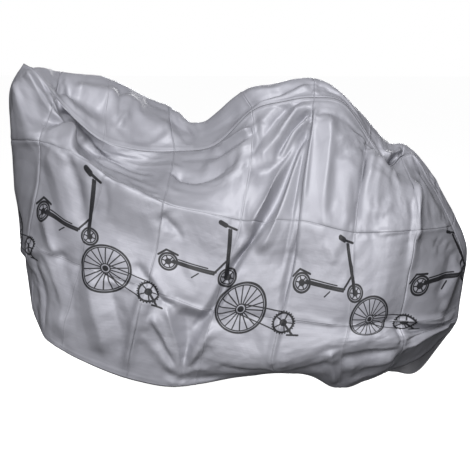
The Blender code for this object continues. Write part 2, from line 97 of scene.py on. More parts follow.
NEAR_UPPER_CREASE = [
    (0.000, -0.740, 0.080, 0.763),
    (0.125, -0.690, -0.060, 0.772),
    (0.250, -0.570, -0.160, 0.774),
    (0.375, -0.470, -0.200, 0.742),
    (0.500, -0.360, -0.220, 0.672),
    (0.625, -0.270, -0.230, 0.633),
    (0.750, -0.180, -0.230, 0.596),
    (0.875, -0.060, -0.230, 0.574),
    (1.000, 0.050, -0.230, 0.553),
    (1.250, 0.220, -0.220, 0.554),
    (1.500, 0.385, -0.210, 0.521),
    (1.750, 0.550, -0.150, 0.522),
    (1.875, 0.620, -0.070, 0.518),
    (2.000, 0.670, 0.040, 0.513),
]
NEAR_WAIST = [
    (0.000, -0.730, 0.100, 0.598),
    (0.125, -0.690, -0.040, 0.613),
    (0.250, -0.590, -0.150, 0.611),
    (0.500, -0.410, -0.220, 0.531),
    (0.750, -0.200, -0.240, 0.472),
    (1.000, 0.010, -0.240, 0.419),
    (1.250, 0.200, -0.230, 0.416),
    (1.500, 0.380, -0.230, 0.379),
    (1.750, 0.540, -0.170, 0.387),
    (1.875, 0.630, -0.080, 0.400),
    (2.000, 0.710, 0.050, 0.400),
]
NEAR_LOWER_CREASE = [
    (0.000, -0.710, 0.110, 0.439),
    (0.125, -0.690, -0.020, 0.442),
    (0.250, -0.630, -0.120, 0.457),
    (0.500, -0.440, -0.230, 0.407),
    (0.750, -0.230, -0.260, 0.351),
    (1.000, -0.030, -0.250, 0.282),
    (1.250, 0.170, -0.240, 0.265),
    (1.500, 0.370, -0.230, 0.248),
    (1.750, 0.520, -0.170, 0.255),
    (1.875, 0.620, -0.080, 0.248),
    (2.000, 0.700, 0.050, 0.265),
]
NEAR_HEM_TURN = [
    (0.000, -0.710, 0.120, 0.391),
    (0.125, -0.680, 0.000, 0.397),
    (0.250, -0.620, -0.120, 0.325),
    (0.500, -0.490, -0.210, 0.221),
    (0.750, -0.270, -0.250, 0.175),
    (1.000, -0.070, -0.240, 0.127),
    (1.250, 0.150, -0.220, 0.102),
    (1.500, 0.350, -0.210, 0.140),
    (1.750, 0.520, -0.150, 0.159),
    (1.875, 0.610, -0.070, 0.184),
    (2.000, 0.690, 0.040, 0.209),
]
NEAR_HEM = [
    (0.000, -0.700, 0.120, 0.374),
    (0.125, -0.670, 0.000, 0.364),
    (0.250, -0.620, -0.110, 0.238),
    (0.375, -0.570, -0.170, 0.176),
    (0.500, -0.510, -0.200, 0.140),
    (0.750, -0.300, -0.230, 0.067),
    (1.000, -0.090, -0.210, 0.045),
    (1.125, 0.040, -0.180, 0.070),
    (1.250, 0.190, -0.140, 0.074),
    (1.500, 0.340, -0.120, 0.032),
    (1.750, 0.470, -0.080, 0.072),
    (1.875, 0.580, -0.030, 0.115),
    (2.000, 0.680, 0.040, 0.193),
]
FAR_CREST = [
    (0.125, -0.630, 0.040, 0.986),
    (0.250, -0.570, 0.080, 0.978),
    (0.375, -0.500, 0.120, 0.975),
    (0.500, -0.430, 0.150, 0.955),
    (0.625, -0.330, 0.160, 0.912),
    (0.750, -0.240, 0.160, 0.869),
    (0.875, -0.140, 0.100, 0.811),
    (1.000, 0.010, 0.030, 0.915),
    (1.125, 0.120, 0.020, 0.944),
    (1.250, 0.240, 0.010, 0.959),
    (1.375, 0.330, 0.010, 0.911),
    (1.500, 0.420, 0.020, 0.820),
    (1.625, 0.460, 0.040, 0.773),
    (1.750, 0.520, 0.060, 0.754),
    (1.875, 0.590, 0.075, 0.690),
]
FAR_UPPER_CREASE = [
    (0.125, -0.680, 0.140, 0.820),
    (0.250, -0.590, 0.200, 0.830),
    (0.500, -0.420, 0.230, 0.800),
    (0.750, -0.230, 0.240, 0.720),
    (0.875, -0.120, 0.220, 0.680),
    (1.000, 0.000, 0.190, 0.720),
    (1.250, 0.220, 0.170, 0.760),
    (1.500, 0.410, 0.170, 0.680),
    (1.750, 0.580, 0.150, 0.615),
    (1.875, 0.665, 0.110, 0.560),
]
FAR_WAIST = [
    (0.125, -0.690, 0.170, 0.630),
    (0.250, -0.610, 0.230, 0.630),
    (0.500, -0.430, 0.260, 0.600),
    (0.750, -0.220, 0.270, 0.550),
    (1.000, 0.000, 0.250, 0.520),
    (1.250, 0.210, 0.230, 0.540),
    (1.500, 0.410, 0.220, 0.480),
    (1.750, 0.570, 0.180, 0.430),
    (1.875, 0.710, 0.130, 0.420),
]
FAR_LOWER_CREASE = [
    (0.125, -0.670, 0.180, 0.450),
    (0.250, -0.600, 0.240, 0.440),
    (0.500, -0.430, 0.270, 0.410),
    (0.750, -0.220, 0.280, 0.360),
    (1.000, 0.000, 0.270, 0.330),
    (1.250, 0.200, 0.250, 0.330),
    (1.500, 0.400, 0.240, 0.290),
    (1.750, 0.560, 0.190, 0.270),
    (1.875, 0.670, 0.130, 0.280),
]
FAR_HEM_TURN = [
    (0.125, -0.650, 0.180, 0.370),
    (0.250, -0.580, 0.230, 0.320),
    (0.500, -0.430, 0.250, 0.220),
    (0.750, -0.230, 0.260, 0.160),
    (1.000, -0.010, 0.250, 0.130),
    (1.250, 0.180, 0.230, 0.120),
    (1.500, 0.370, 0.210, 0.130),
    (1.750, 0.520, 0.160, 0.160),
    (1.875, 0.610, 0.110, 0.180),
]
FAR_HEM = [
    (0.125, -0.640, 0.170, 0.340),
    (0.250, -0.560, 0.200, 0.260),
    (0.500, -0.420, 0.210, 0.140),
    (0.750, -0.230, 0.210, 0.080),
    (1.000, -0.020, 0.200, 0.060),
    (1.250, 0.170, 0.170, 0.070),
    (1.500, 0.340, 0.150, 0.055),
    (1.750, 0.500, 0.110, 0.030),
    (1.875, 0.575, 0.080, 0.045),
]
# height of each line on the flat panel, hem to top weld
LINE_HEIGHTS = (0.0, 0.1, 1 / 3, 0.5, 2 / 3, 0.83, 1.0)
NEAR_LINES = (
    NEAR_HEM,
    NEAR_HEM_TURN,
    NEAR_LOWER_CREASE,
    NEAR_WAIST,
    NEAR_UPPER_CREASE,
    NEAR_SHOULDER,
    TOP_WELD,
)
FAR_LINES = (
    FAR_HEM,
    FAR_HEM_TURN,
    FAR_LOWER_CREASE,
    FAR_WAIST,
    FAR_UPPER_CREASE,
    FAR_CREST,
    TOP_WELD,
)

# ---- folds: their line on the flat panel, and how they stand out of it ----------
# A height above nought is a ridge and one below is a trough.  Each runs from its
# first height to its last, falls off by its own width on the left and the right of
# its line, and is as many times wider at its last point as its flare says, or as wide as
# at its first one where the row gives no flare.
# Points are (u, v): along the flat panel, and up it from the hem.
Fold = namedtuple("Fold", "points start end left right flare", defaults=(1.0,))
NEAR_FOLDS = [
    # front end, below the front peak
    Fold(((0.08, 0.91), (0.15, 0.85), (0.19, 0.78), (0.23, 0.64)), 0.010, 0.014, 0.05, 0.02, 1.4),
    Fold(((0.15, 0.90), (0.21, 0.77), (0.26, 0.65)), -0.008, -0.008, 0.03, 0.03),
    Fold(((0.06, 1.00), (0.17, 0.95), (0.23, 0.90), (0.29, 0.83)), 0.018, 0.010, 0.02, 0.04),
    Fold(((0.20, 1.00), (0.24, 0.96), (0.30, 0.88), (0.38, 0.67)), 0.014, 0.036, 0.03, 0.03, 1.2),
    Fold(((0.28, 0.97), (0.34, 0.93), (0.43, 0.86)), -0.022, -0.016, 0.04, 0.04),
    # the ledge between the front and the middle peak
    Fold(((0.38, 0.67), (0.52, 0.66), (0.76, 0.665), (1.00, 0.665)), 0.032, 0.008, 0.03, 0.06, 0.7),
    Fold(((0.41, 0.72), (0.50, 0.76), (0.60, 0.72), (0.72, 0.69)), -0.020, -0.010, 0.04, 0.02),
    Fold(((0.74, 0.83), (0.81, 0.83), (0.88, 0.85), (0.97, 0.83)), -0.016, -0.012, 0.05, 0.03),
    Fold(((0.83, 0.91), (0.91, 0.89), (1.01, 0.84)), 0.010, 0.010, 0.03, 0.03),
    # below the middle peak
    Fold(((1.21, 0.99), (1.16, 0.92), (1.08, 0.84), (1.01, 0.79)), 0.014, 0.012, 0.035, 0.02, 1.2),
    Fold(((1.15, 0.99), (1.10, 0.94), (1.06, 0.89), (1.01, 0.83)), -0.014, -0.010, 0.02, 0.03, 1.2),
    Fold(((1.25, 0.95), (1.21, 0.91), (1.15, 0.85), (1.09, 0.79)), -0.014, -0.014, 0.02, 0.02, 1.3),
    Fold(((1.00, 0.78), (1.08, 0.78), (1.16, 0.81), (1.25, 0.90)), -0.016, -0.014, 0.02, 0.03, 0.7),
    Fold(((1.23, 0.88), (1.17, 0.80), (1.12, 0.75), (1.02, 0.64)), 0.012, 0.020, 0.02, 0.04, 1.6),
    Fold(((1.25, 0.90), (1.17, 0.76), (1.08, 0.65), (1.04, 0.45)), -0.014, -0.018, 0.025, 0.02, 1.5),
    Fold(((1.25, 0.85), (1.20, 0.77), (1.16, 0.71), (1.10, 0.55)), 0.014, 0.012, 0.03, 0.02, 1.3),
    Fold(((1.25, 0.92), (1.23, 0.80), (1.215, 0.60), (1.21, 0.46)), -0.016, -0.008, 0.02, 0.03),
    Fold(((1.25, 0.99), (1.26, 0.85), (1.255, 0.68)), 0.014, 0.010, 0.03, 0.02),
    Fold(((1.33, 0.93), (1.35, 0.76), (1.36, 0.62)), 0.010, 0.010, 0.05, 0.08),
    Fold(((0.90, 0.98), (0.96, 0.94), (1.01, 0.91)), 0.012, 0.014, 0.02, 0.03),
    # towards the rear end
    Fold(((1.49, 0.92), (1.49, 0.80), (1.49, 0.68)), -0.012, -0.008, 0.03, 0.02),
    Fold(((1.56, 0.95), (1.57, 0.80), (1.58, 0.68)), 0.012, 0.008, 0.05, 0.05),
    Fold(((1.64, 0.93), (1.68, 0.78), (1.70, 0.66)), 0.012, 0.010, 0.05, 0.05),
    Fold(((1.78, 0.88), (1.765, 0.75), (1.76, 0.62)), 0.012, 0.016, 0.02, 0.02),
    Fold(((1.89, 0.40), (1.94, 0.46), (1.99, 0.50)), 0.012, 0.012, 0.03, 0.03),
    # the lower wall and the hem
    Fold(((0.30, 0.48), (0.37, 0.38), (0.42, 0.33)), 0.008, 0.014, 0.04, 0.03),
    Fold(((0.33, 0.33), (0.41, 0.22), (0.50, 0.12)), -0.010, -0.010, 0.06, 0.06),
    Fold(((0.53, 0.33), (0.58, 0.22), (0.67, 0.05)), 0.012, 0.010, 0.06, 0.05, 1.2),
    Fold(((0.75, 0.34), (0.74, 0.22), (0.735, 0.01)), 0.014, 0.010, 0.04, 0.02),
    Fold(((0.94, 0.05), (0.86, 0.13), (0.78, 0.24)), 0.008, 0.012, 0.02, 0.02, 1.6),
    Fold(((0.94, 0.06), (0.89, 0.17), (0.83, 0.31)), 0.008, 0.014, 0.02, 0.02, 1.8),
    Fold(((0.945, 0.06), (0.93, 0.20), (0.90, 0.32)), -0.012, -0.020, 0.025, 0.03, 1.8),
    Fold(((0.95, 0.06), (0.975, 0.12), (1.02, 0.30)), 0.010, 0.014, 0.02, 0.02, 1.8),
    Fold(((0.75, 0.64), (0.78, 0.60), (0.84, 0.55)), -0.010, -0.004, 0.02, 0.02),
    Fold(((1.75, 0.34), (1.85, 0.31), (1.97, 0.26)), 0.014, 0.014, 0.02, 0.03),
    Fold(((1.76, 0.24), (1.86, 0.25), (1.96, 0.23)), -0.014, -0.014, 0.03, 0.03),
    Fold(((1.76, 0.12), (1.85, 0.17), (1.96, 0.19)), 0.012, 0.010, 0.02, 0.02),
    Fold(((1.45, 0.17), (1.46, 0.08), (1.47, 0.01)), 0.014, 0.014, 0.02, 0.02),
    Fold(((1.50, 0.04), (1.62, 0.06), (1.74, 0.09)), 0.012, 0.010, 0.02, 0.02),
]
FAR_FOLDS = [
    # the part that comes over the front peak and shows above the weld
    Fold(((0.22, 0.985), (0.30, 0.94), (0.40, 0.93), (0.54, 0.94)), -0.014, -0.014, 0.02, 0.02),
    Fold(((0.33, 0.915), (0.43, 0.90), (0.55, 0.885)), 0.014, 0.014, 0.02, 0.02),
    Fold(((0.555, 0.88), (0.565, 0.915), (0.555, 0.96)), 0.012, 0.012, 0.03, 0.02),
    Fold(((0.55, 0.885), (0.60, 0.885), (0.68, 0.905), (0.77, 0.94)), 0.014, 0.012, 0.05, 0.02),
    Fold(((0.90, 0.93), (1.05, 0.96), (1.15, 0.94), (1.22, 0.92)), -0.014, -0.010, 0.02, 0.02),
    Fold(((1.00, 0.985), (1.10, 0.965), (1.17, 0.945), (1.25, 0.92)), 0.012, 0.010, 0.02, 0.02),
    Fold(((1.56, 0.97), (1.66, 0.94), (1.74, 0.945)), 0.016, 0.014, 0.02, 0.03),
    Fold(((1.57, 0.995), (1.65, 0.985), (1.71, 0.965)), -0.022, -0.018, 0.02, 0.02),
    # the far wall
    Fold(((0.30, 0.82), (0.36, 0.60), (0.44, 0.40)), 0.020, 0.012, 0.04, 0.05, 1.5),
    Fold(((0.42, 0.80), (0.52, 0.58), (0.60, 0.38)), -0.018, -0.010, 0.04, 0.04, 1.5),
    Fold(((0.60, 0.80), (0.70, 0.62), (0.84, 0.50)), 0.018, 0.010, 0.04, 0.04, 1.5),
    Fold(((1.22, 0.82), (1.12, 0.62), (1.00, 0.44)), 0.022, 0.012, 0.04, 0.04, 1.6),
    Fold(((1.25, 0.82), (1.22, 0.60), (1.18, 0.36)), -0.018, -0.010, 0.03, 0.04, 1.6),
    Fold(((1.28, 0.82), (1.32, 0.60), (1.34, 0.34)), 0.020, 0.012, 0.04, 0.04, 1.6),
    Fold(((1.36, 0.80), (1.46, 0.60), (1.54, 0.42)), -0.016, -0.010, 0.04, 0.04, 1.6),
    Fold(((1.74, 0.84), (1.72, 0.60), (1.70, 0.30)), 0.016, 0.012, 0.04, 0.04, 1.4),
    Fold(((0.62, 0.02), (0.66, 0.14), (0.72, 0.30)), 0.014, 0.010, 0.03, 0.03, 1.6),
    Fold(((1.10, 0.02), (1.06, 0.16), (1.00, 0.32)), -0.014, -0.010, 0.03, 0.03, 1.6),
    Fold(((1.46, 0.02), (1.44, 0.14), (1.40, 0.30)), 0.014, 0.010, 0.03, 0.03, 1.6),
]
FOLD_FADE = 0.18            # share of a fold's run over which it rises at each end
PATH_STEPS = 6              # steps between two points of a fold's line
FOLD_REACH = 6.0            # widths away from its line at which a fold has died away
WELD_HOLD = 0.03            # a fold dies away this close to a weld
UPRIGHT_CREASES = (0.25, 0.5, 0.75, 1.0, 1.25, 1.5, 1.75)
LEVEL_CREASES = (1 / 3, 2 / 3)
ROUND_CREST = 0.06          # how round a main fold's crest is, as a share of its width
CRISP_CREST = 0.05          # the same of a small crease
FLANK = 2.3                 # widths from a small crease's line to the foot of its flat flank
SOFT_FOOT = 0.05            # how soft that foot is

# ---- small creases that lie on the main folds ------------------------------------
NEAR_CREASES = [
    # front end, below the front peak
    Fold(((0.12, 0.91), (0.16, 0.83), (0.19, 0.75), (0.205, 0.69), (0.22, 0.62)),
         0.010, 0.012, 0.022, 0.016, 1.3),
    Fold(((0.05, 0.90), (0.09, 0.82), (0.11, 0.74)), -0.006, -0.004, 0.020, 0.020),
    Fold(((0.09, 0.98), (0.165, 0.96), (0.21, 0.945), (0.245, 0.905), (0.295, 0.86)),
         0.009, 0.006, 0.010, 0.014),
    Fold(((0.16, 0.985), (0.215, 0.965), (0.255, 0.932), (0.285, 0.89), (0.315, 0.82)),
         -0.008, -0.006, 0.008, 0.008, 1.2),
    Fold(((0.19, 0.985), (0.25, 0.95), (0.285, 0.895), (0.31, 0.82), (0.345, 0.735), (0.40, 0.64)),
         0.012, 0.024, 0.016, 0.016, 1.2),
    Fold(((0.225, 0.955), (0.262, 0.90), (0.285, 0.84), (0.30, 0.77), (0.31, 0.70)),
         0.012, 0.018, 0.030, 0.024),
    Fold(((0.30, 0.80), (0.33, 0.75), (0.37, 0.69)), 0.010, 0.008, 0.014, 0.024),
    Fold(((0.22, 0.975), (0.30, 0.950), (0.37, 0.925), (0.46, 0.895), (0.54, 0.88)),
         -0.022, -0.016, 0.014, 0.034),
    Fold(((0.36, 0.95), (0.40, 0.915), (0.42, 0.87)), -0.007, -0.005, 0.006, 0.008, 1.2),
    Fold(((0.42, 0.955), (0.45, 0.93), (0.465, 0.89)), -0.006, -0.004, 0.006, 0.008, 1.2),
    Fold(((0.26, 0.86), (0.265, 0.76), (0.26, 0.66)), -0.005, -0.004, 0.006, 0.010),
    Fold(((0.26, 0.66), (0.31, 0.65), (0.38, 0.63)), 0.004, 0.004, 0.006, 0.008),
    # diagonal facets of the front wall
    Fold(((0.27, 0.65), (0.32, 0.58), (0.38, 0.52), (0.44, 0.45)), 0.012, 0.008, 0.028, 0.020),
    Fold(((0.36, 0.645), (0.42, 0.59), (0.47, 0.53), (0.49, 0.47)), -0.010, -0.006, 0.012, 0.020),
    Fold(((0.44, 0.645), (0.47, 0.58), (0.49, 0.51)), 0.007, 0.004, 0.010, 0.014),
    Fold(((0.50, 0.66), (0.53, 0.60), (0.55, 0.54)), -0.004, -0.004, 0.008, 0.010),
    # the ledge between the front and the middle peak
    Fold(((0.37, 0.675), (0.45, 0.665), (0.545, 0.665)), 0.009, 0.007, 0.006, 0.014),
    Fold(((0.53, 0.665), (0.60, 0.655), (0.68, 0.66), (0.76, 0.665)), 0.006, 0.004, 0.006, 0.010),
    Fold(((0.55, 0.675), (0.61, 0.685), (0.66, 0.69), (0.75, 0.672)), -0.007, -0.005, 0.006, 0.006),
    Fold(((0.38, 0.69), (0.45, 0.695), (0.53, 0.70), (0.62, 0.69)), -0.013, -0.008, 0.016, 0.008),
    Fold(((0.41, 0.73), (0.48, 0.745), (0.57, 0.73)), 0.005, 0.004, 0.008, 0.008),
    Fold(((0.42, 0.75), (0.47, 0.795), (0.54, 0.785), (0.64, 0.74)), 0.006, 0.004, 0.007, 0.008, 1.2),
    Fold(((0.45, 0.85), (0.52, 0.875), (0.58, 0.865), (0.70, 0.82)), -0.006, -0.004, 0.007, 0.009),
    Fold(((0.46, 0.82), (0.54, 0.845), (0.62, 0.83), (0.72, 0.79)), 0.005, 0.004, 0.010, 0.010),
    Fold(((0.50, 0.80), (0.58, 0.81), (0.68, 0.78)), -0.004, -0.003, 0.007, 0.008),
    Fold(((0.56, 0.78), (0.63, 0.765), (0.72, 0.735)), 0.004, 0.003, 0.007, 0.008),
    Fold(((0.60, 0.745), (0.66, 0.735), (0.73, 0.705)), -0.004, -0.003, 0.006, 0.008),
    Fold(((0.54, 0.93), (0.64, 0.925), (0.76, 0.925)), -0.003, -0.003, 0.008, 0.008),
    Fold(((0.58, 0.90), (0.68, 0.885), (0.80, 0.885)), 0.003, 0.003, 0.008, 0.008),
    Fold(((0.745, 0.855), (0.79, 0.825), (0.85, 0.83), (0.93, 0.865)), -0.013, -0.008, 0.022, 0.007),
    Fold(((0.76, 0.80), (0.85, 0.79), (0.94, 0.80), (1.00, 0.78)), 0.005, 0.004, 0.016, 0.012),
    Fold(((0.84, 0.93), (0.90, 0.91), (1.00, 0.87)), 0.005, 0.006, 0.010, 0.014),
    Fold(((0.76, 0.93), (0.84, 0.95), (0.92, 0.93)), -0.004, -0.004, 0.010, 0.008),
    Fold(((0.86, 0.985), (0.92, 0.955), (1.005, 0.908)), 0.009, 0.010, 0.008, 0.008),
    Fold(((0.88, 0.955), (0.94, 0.92), (1.00, 0.885)), -0.008, -0.008, 0.008, 0.010),
    # the fan below the middle peak
    Fold(((1.00, 0.985), (1.005, 0.92), (1.018, 0.86), (1.00, 0.80)), -0.010, -0.008, 0.010, 0.008),
    Fold(((1.22, 0.99), (1.155, 0.965), (1.12, 0.925), (1.08, 0.885), (1.04, 0.84)),
         -0.009, -0.006, 0.012, 0.014, 1.2),
    Fold(((1.24, 0.97), (1.18, 0.935), (1.14, 0.895), (1.10, 0.85)), 0.009, 0.006, 0.012, 0.014, 1.1),
    Fold(((1.10, 0.985), (1.06, 0.955), (1.03, 0.92)), 0.005, 0.006, 0.014, 0.012),
    Fold(((1.255, 0.935), (1.22, 0.915), (1.19, 0.895), (1.16, 0.87), (1.125, 0.83), (1.09, 0.80)),
         -0.011, -0.006, 0.007, 0.009, 1.1),
    Fold(((1.25, 0.915), (1.20, 0.88), (1.165, 0.845), (1.13, 0.81), (1.10, 0.795)),
         0.008, 0.004, 0.007, 0.008),
    Fold(((0.99, 0.785), (1.05, 0.772), (1.09, 0.778), (1.13, 0.792), (1.17, 0.83), (1.23, 0.89)),
         -0.010, -0.010, 0.008, 0.012, 0.8),
    Fold(((1.24, 0.89), (1.195, 0.85), (1.165, 0.81), (1.125, 0.765), (1.07, 0.695), (1.02, 0.61)),
         0.013, 0.013, 0.009, 0.012, 1.6),
    Fold(((1.25, 0.89), (1.215, 0.85), (1.175, 0.795), (1.135, 0.73), (1.075, 0.655), (1.03, 0.56)),
         -0.015, -0.018, 0.010, 0.012, 1.5),
    Fold(((1.245, 0.86), (1.22, 0.80), (1.18, 0.72), (1.13, 0.64), (1.09, 0.55)),
         0.008, 0.008, 0.012, 0.012, 1.8),
    Fold(((1.245, 0.87), (1.23, 0.82), (1.22, 0.75), (1.205, 0.67)), -0.010, -0.006, 0.007, 0.010, 1.5),
    Fold(((1.10, 0.78), (1.07, 0.73), (1.035, 0.67), (1.01, 0.60)), -0.007, -0.005, 0.008, 0.010, 1.4),
    Fold(((1.258, 0.99), (1.25, 0.90), (1.245, 0.78), (1.245, 0.60)), -0.012, -0.006, 0.005, 0.007),
    Fold(((1.265, 0.95), (1.262, 0.85), (1.258, 0.70)), 0.006, 0.004, 0.006, 0.006),
    Fold(((1.325, 0.93), (1.338, 0.86), (1.345, 0.78), (1.345, 0.68)), 0.014, 0.009, 0.014, 0.040),
    Fold(((1.27, 0.895), (1.30, 0.91), (1.34, 0.905)), 0.005, 0.004, 0.007, 0.008),
    Fold(((1.34, 0.95), (1.40, 0.90), (1.46, 0.84)), -0.004, -0.003, 0.012, 0.014),
    # towards the rear end
    Fold(((1.36, 0.83), (1.43, 0.90), (1.49, 0.95)), 0.005, 0.005, 0.008, 0.010),
    Fold(((1.38, 0.80), (1.44, 0.85), (1.49, 0.88)), -0.004, -0.004, 0.008, 0.008),
    Fold(((1.37, 0.94), (1.43, 0.93), (1.49, 0.97)), -0.004, -0.004, 0.008, 0.010),
    Fold(((1.36, 0.79), (1.42, 0.80), (1.49, 0.79)), 0.003, 0.003, 0.006, 0.008),
    Fold(((1.495, 0.975), (1.503, 0.85), (1.498, 0.70), (1.495, 0.60)), -0.010, -0.006, 0.006, 0.008),
    Fold(((1.512, 0.94), (1.52, 0.85), (1.515, 0.74)), 0.006, 0.004, 0.012, 0.006),
    Fold(((1.47, 0.78), (1.475, 0.70), (1.47, 0.60)), -0.004, -0.004, 0.008, 0.012),
    Fold(((1.55, 0.90), (1.58, 0.885), (1.63, 0.895)), 0.007, 0.006, 0.008, 0.014),
    Fold(((1.50, 0.80), (1.57, 0.815), (1.64, 0.825)), 0.005, 0.004, 0.008, 0.010),
    Fold(((1.65, 0.90), (1.67, 0.80), (1.70, 0.68)), -0.006, -0.005, 0.012, 0.016),
    Fold(((1.60, 0.95), (1.64, 0.90), (1.68, 0.82)), 0.007, 0.004, 0.008, 0.012),
    Fold(((1.775, 0.90), (1.765, 0.82), (1.755, 0.74), (1.75, 0.64), (1.75, 0.50)),
         0.010, 0.008, 0.016, 0.007),
    Fold(((1.735, 0.80), (1.738, 0.70), (1.735, 0.60)), -0.005, -0.004, 0.006, 0.010),
    Fold(((1.84, 0.93), (1.88, 0.82), (1.93, 0.70)), 0.006, 0.005, 0.016, 0.016, 1.2),
    Fold(((1.90, 0.92), (1.94, 0.83), (1.97, 0.75)), -0.006, -0.005, 0.012, 0.014),
    Fold(((1.50, 0.655), (1.54, 0.662), (1.60, 0.665)), -0.004, -0.004, 0.005, 0.006),
    Fold(((1.57, 0.672), (1.66, 0.668), (1.74, 0.668)), 0.005, 0.005, 0.006, 0.007),
    Fold(((1.62, 0.655), (1.68, 0.656), (1.735, 0.66)), -0.004, -0.004, 0.005, 0.006),
    Fold(((1.78, 0.67), (1.86, 0.668), (1.96, 0.67)), 0.004, 0.004, 0.006, 0.008),
    Fold(((1.90, 0.34), (1.935, 0.42), (1.965, 0.50)), 0.010, 0.008, 0.010, 0.014),
    Fold(((1.87, 0.40), (1.91, 0.47), (1.95, 0.56)), -0.008, -0.006, 0.014, 0.010),
    Fold(((1.86, 0.62), (1.92, 0.56), (1.97, 0.53)), -0.006, -0.004, 0.012, 0.014),
    # lower wall, front
    Fold(((0.245, 0.62), (0.242, 0.50), (0.245, 0.36)), 0.005, 0.005, 0.010, 0.010),
    Fold(((0.30, 0.46), (0.36, 0.385), (0.42, 0.335)), 0.008, 0.006, 0.016, 0.014),
    Fold(((0.33, 0.38), (0.37, 0.31), (0.41, 0.25), (0.455, 0.19), (0.48, 0.13), (0.495, 0.03)),
         0.020, 0.016, 0.024, 0.046),
    Fold(((0.29, 0.31), (0.32, 0.22), (0.36, 0.12), (0.39, 0.02)), -0.007, -0.006, 0.018, 0.014),
    Fold(((0.25, 0.325), (0.30, 0.32), (0.36, 0.335)), 0.005, 0.005, 0.006, 0.010),
    Fold(((0.40, 0.345), (0.46, 0.33), (0.52, 0.335)), -0.005, -0.004, 0.008, 0.008),
    Fold(((0.50, 0.42), (0.495, 0.34), (0.51, 0.25)), -0.004, -0.004, 0.008, 0.010),
    Fold(((0.55, 0.36), (0.57, 0.26), (0.60, 0.18), (0.64, 0.11), (0.66, 0.03)),
         0.010, 0.010, 0.026, 0.020, 1.2),
    Fold(((0.62, 0.32), (0.66, 0.22), (0.70, 0.12), (0.71, 0.04)), -0.008, -0.008, 0.018, 0.022),
    Fold(((0.55, 0.345), (0.62, 0.33), (0.72, 0.325)), -0.005, -0.005, 0.006, 0.008),
    Fold(((0.57, 0.33), (0.64, 0.315), (0.73, 0.31)), 0.004, 0.004, 0.006, 0.010),
    Fold(((0.68, 0.42), (0.755, 0.36), (0.80, 0.318), (0.855, 0.295)), -0.012, -0.008, 0.010, 0.012),
    Fold(((0.74, 0.40), (0.80, 0.35), (0.86, 0.32)), 0.006, 0.006, 0.014, 0.008),
    Fold(((0.84, 0.325), (0.91, 0.328), (0.99, 0.33)), 0.006, 0.006, 0.007, 0.008),
    Fold(((0.74, 0.625), (0.78, 0.60), (0.83, 0.555)), -0.010, -0.005, 0.008, 0.016, 1.2),
    Fold(((0.76, 0.57), (0.80, 0.57), (0.84, 0.58)), 0.005, 0.004, 0.008, 0.010),
    Fold(((0.75, 0.335), (0.745, 0.24), (0.74, 0.14), (0.735, 0.02)), 0.009, 0.008, 0.014, 0.010),
    Fold(((0.775, 0.30), (0.77, 0.22), (0.79, 0.16)), 0.006, 0.004, 0.010, 0.012),
    # long dark fold from the fan down to the hem
    Fold(((1.09, 0.66), (1.05, 0.57), (1.02, 0.48), (1.01, 0.39), (0.985, 0.31), (0.955, 0.20)),
         -0.022, -0.020, 0.008, 0.011, 1.2),
    Fold(((1.05, 0.64), (1.02, 0.55), (1.00, 0.48), (0.995, 0.40)), 0.007, 0.006, 0.008, 0.012),
    Fold(((1.08, 0.58), (1.045, 0.48), (1.035, 0.40), (1.01, 0.32)), 0.007, 0.008, 0.018, 0.008),
    # the star of folds at the hem
    Fold(((0.945, 0.05), (0.855, 0.155), (0.78, 0.265)), 0.009, 0.007, 0.006, 0.010, 1.8),
    Fold(((0.940, 0.045), (0.85, 0.09), (0.75, 0.155)), 0.008, 0.006, 0.008, 0.008, 1.6),
    Fold(((0.938, 0.055), (0.86, 0.12), (0.78, 0.21)), -0.007, -0.005, 0.006, 0.007, 1.6),
    Fold(((0.942, 0.06), (0.89, 0.17), (0.83, 0.29)), 0.006, 0.006, 0.007, 0.010, 1.8),
    Fold(((0.946, 0.05), (0.945, 0.14), (0.95, 0.22), (0.965, 0.32)), -0.014, -0.018, 0.034, 0.012),
    Fold(((0.948, 0.05), (0.958, 0.10), (0.975, 0.18), (1.01, 0.27)), 0.010, 0.009, 0.008, 0.012, 1.4),
    Fold(((0.950, 0.05), (0.99, 0.11), (1.03, 0.19)), -0.005, -0.004, 0.008, 0.008, 1.4),
    Fold(((0.950, 0.045), (0.98, 0.065), (1.04, 0.075)), 0.007, 0.004, 0.006, 0.007, 1.5),
    Fold(((0.86, 0.05), (0.95, 0.028), (1.08, 0.030)), -0.006, -0.006, 0.008, 0.008),
    # the middle of the wall
    Fold(((1.252, 0.66), (1.245, 0.46), (1.25, 0.35)), -0.012, -0.010, 0.006, 0.009),
    Fold(((1.248, 0.34), (1.252, 0.24), (1.25, 0.13)), 0.007, 0.006, 0.007, 0.010),
    Fold(((1.03, 0.338), (1.12, 0.336), (1.23, 0.333)), -0.004, -0.004, 0.005, 0.007),
    Fold(((1.27, 0.345), (1.36, 0.345), (1.46, 0.335)), 0.004, 0.005, 0.006, 0.008),
    Fold(((1.36, 0.62), (1.40, 0.60), (1.42, 0.55)), 0.005, 0.004, 0.012, 0.014),
    Fold(((1.28, 0.68), (1.36, 0.665), (1.49, 0.66)), -0.004, -0.004, 0.006, 0.008),
    Fold(((1.05, 0.10), (1.15, 0.085), (1.25, 0.09)), -0.006, -0.006, 0.012, 0.012),
    # lower rear corner
    Fold(((1.50, 0.315), (1.60, 0.33), (1.735, 0.337)), -0.007, -0.006, 0.006, 0.010),
    Fold(((1.742, 0.34), (1.738, 0.24), (1.742, 0.12)), -0.009, -0.008, 0.005, 0.008),
    Fold(((1.755, 0.34), (1.83, 0.335), (1.92, 0.325)), 0.009, 0.008, 0.007, 0.012),
    Fold(((1.76, 0.28), (1.85, 0.28), (1.95, 0.26)), -0.004, -0.005, 0.012, 0.012),
    Fold(((1.75, 0.16), (1.84, 0.20), (1.97, 0.20)), -0.006, -0.006, 0.008, 0.008),
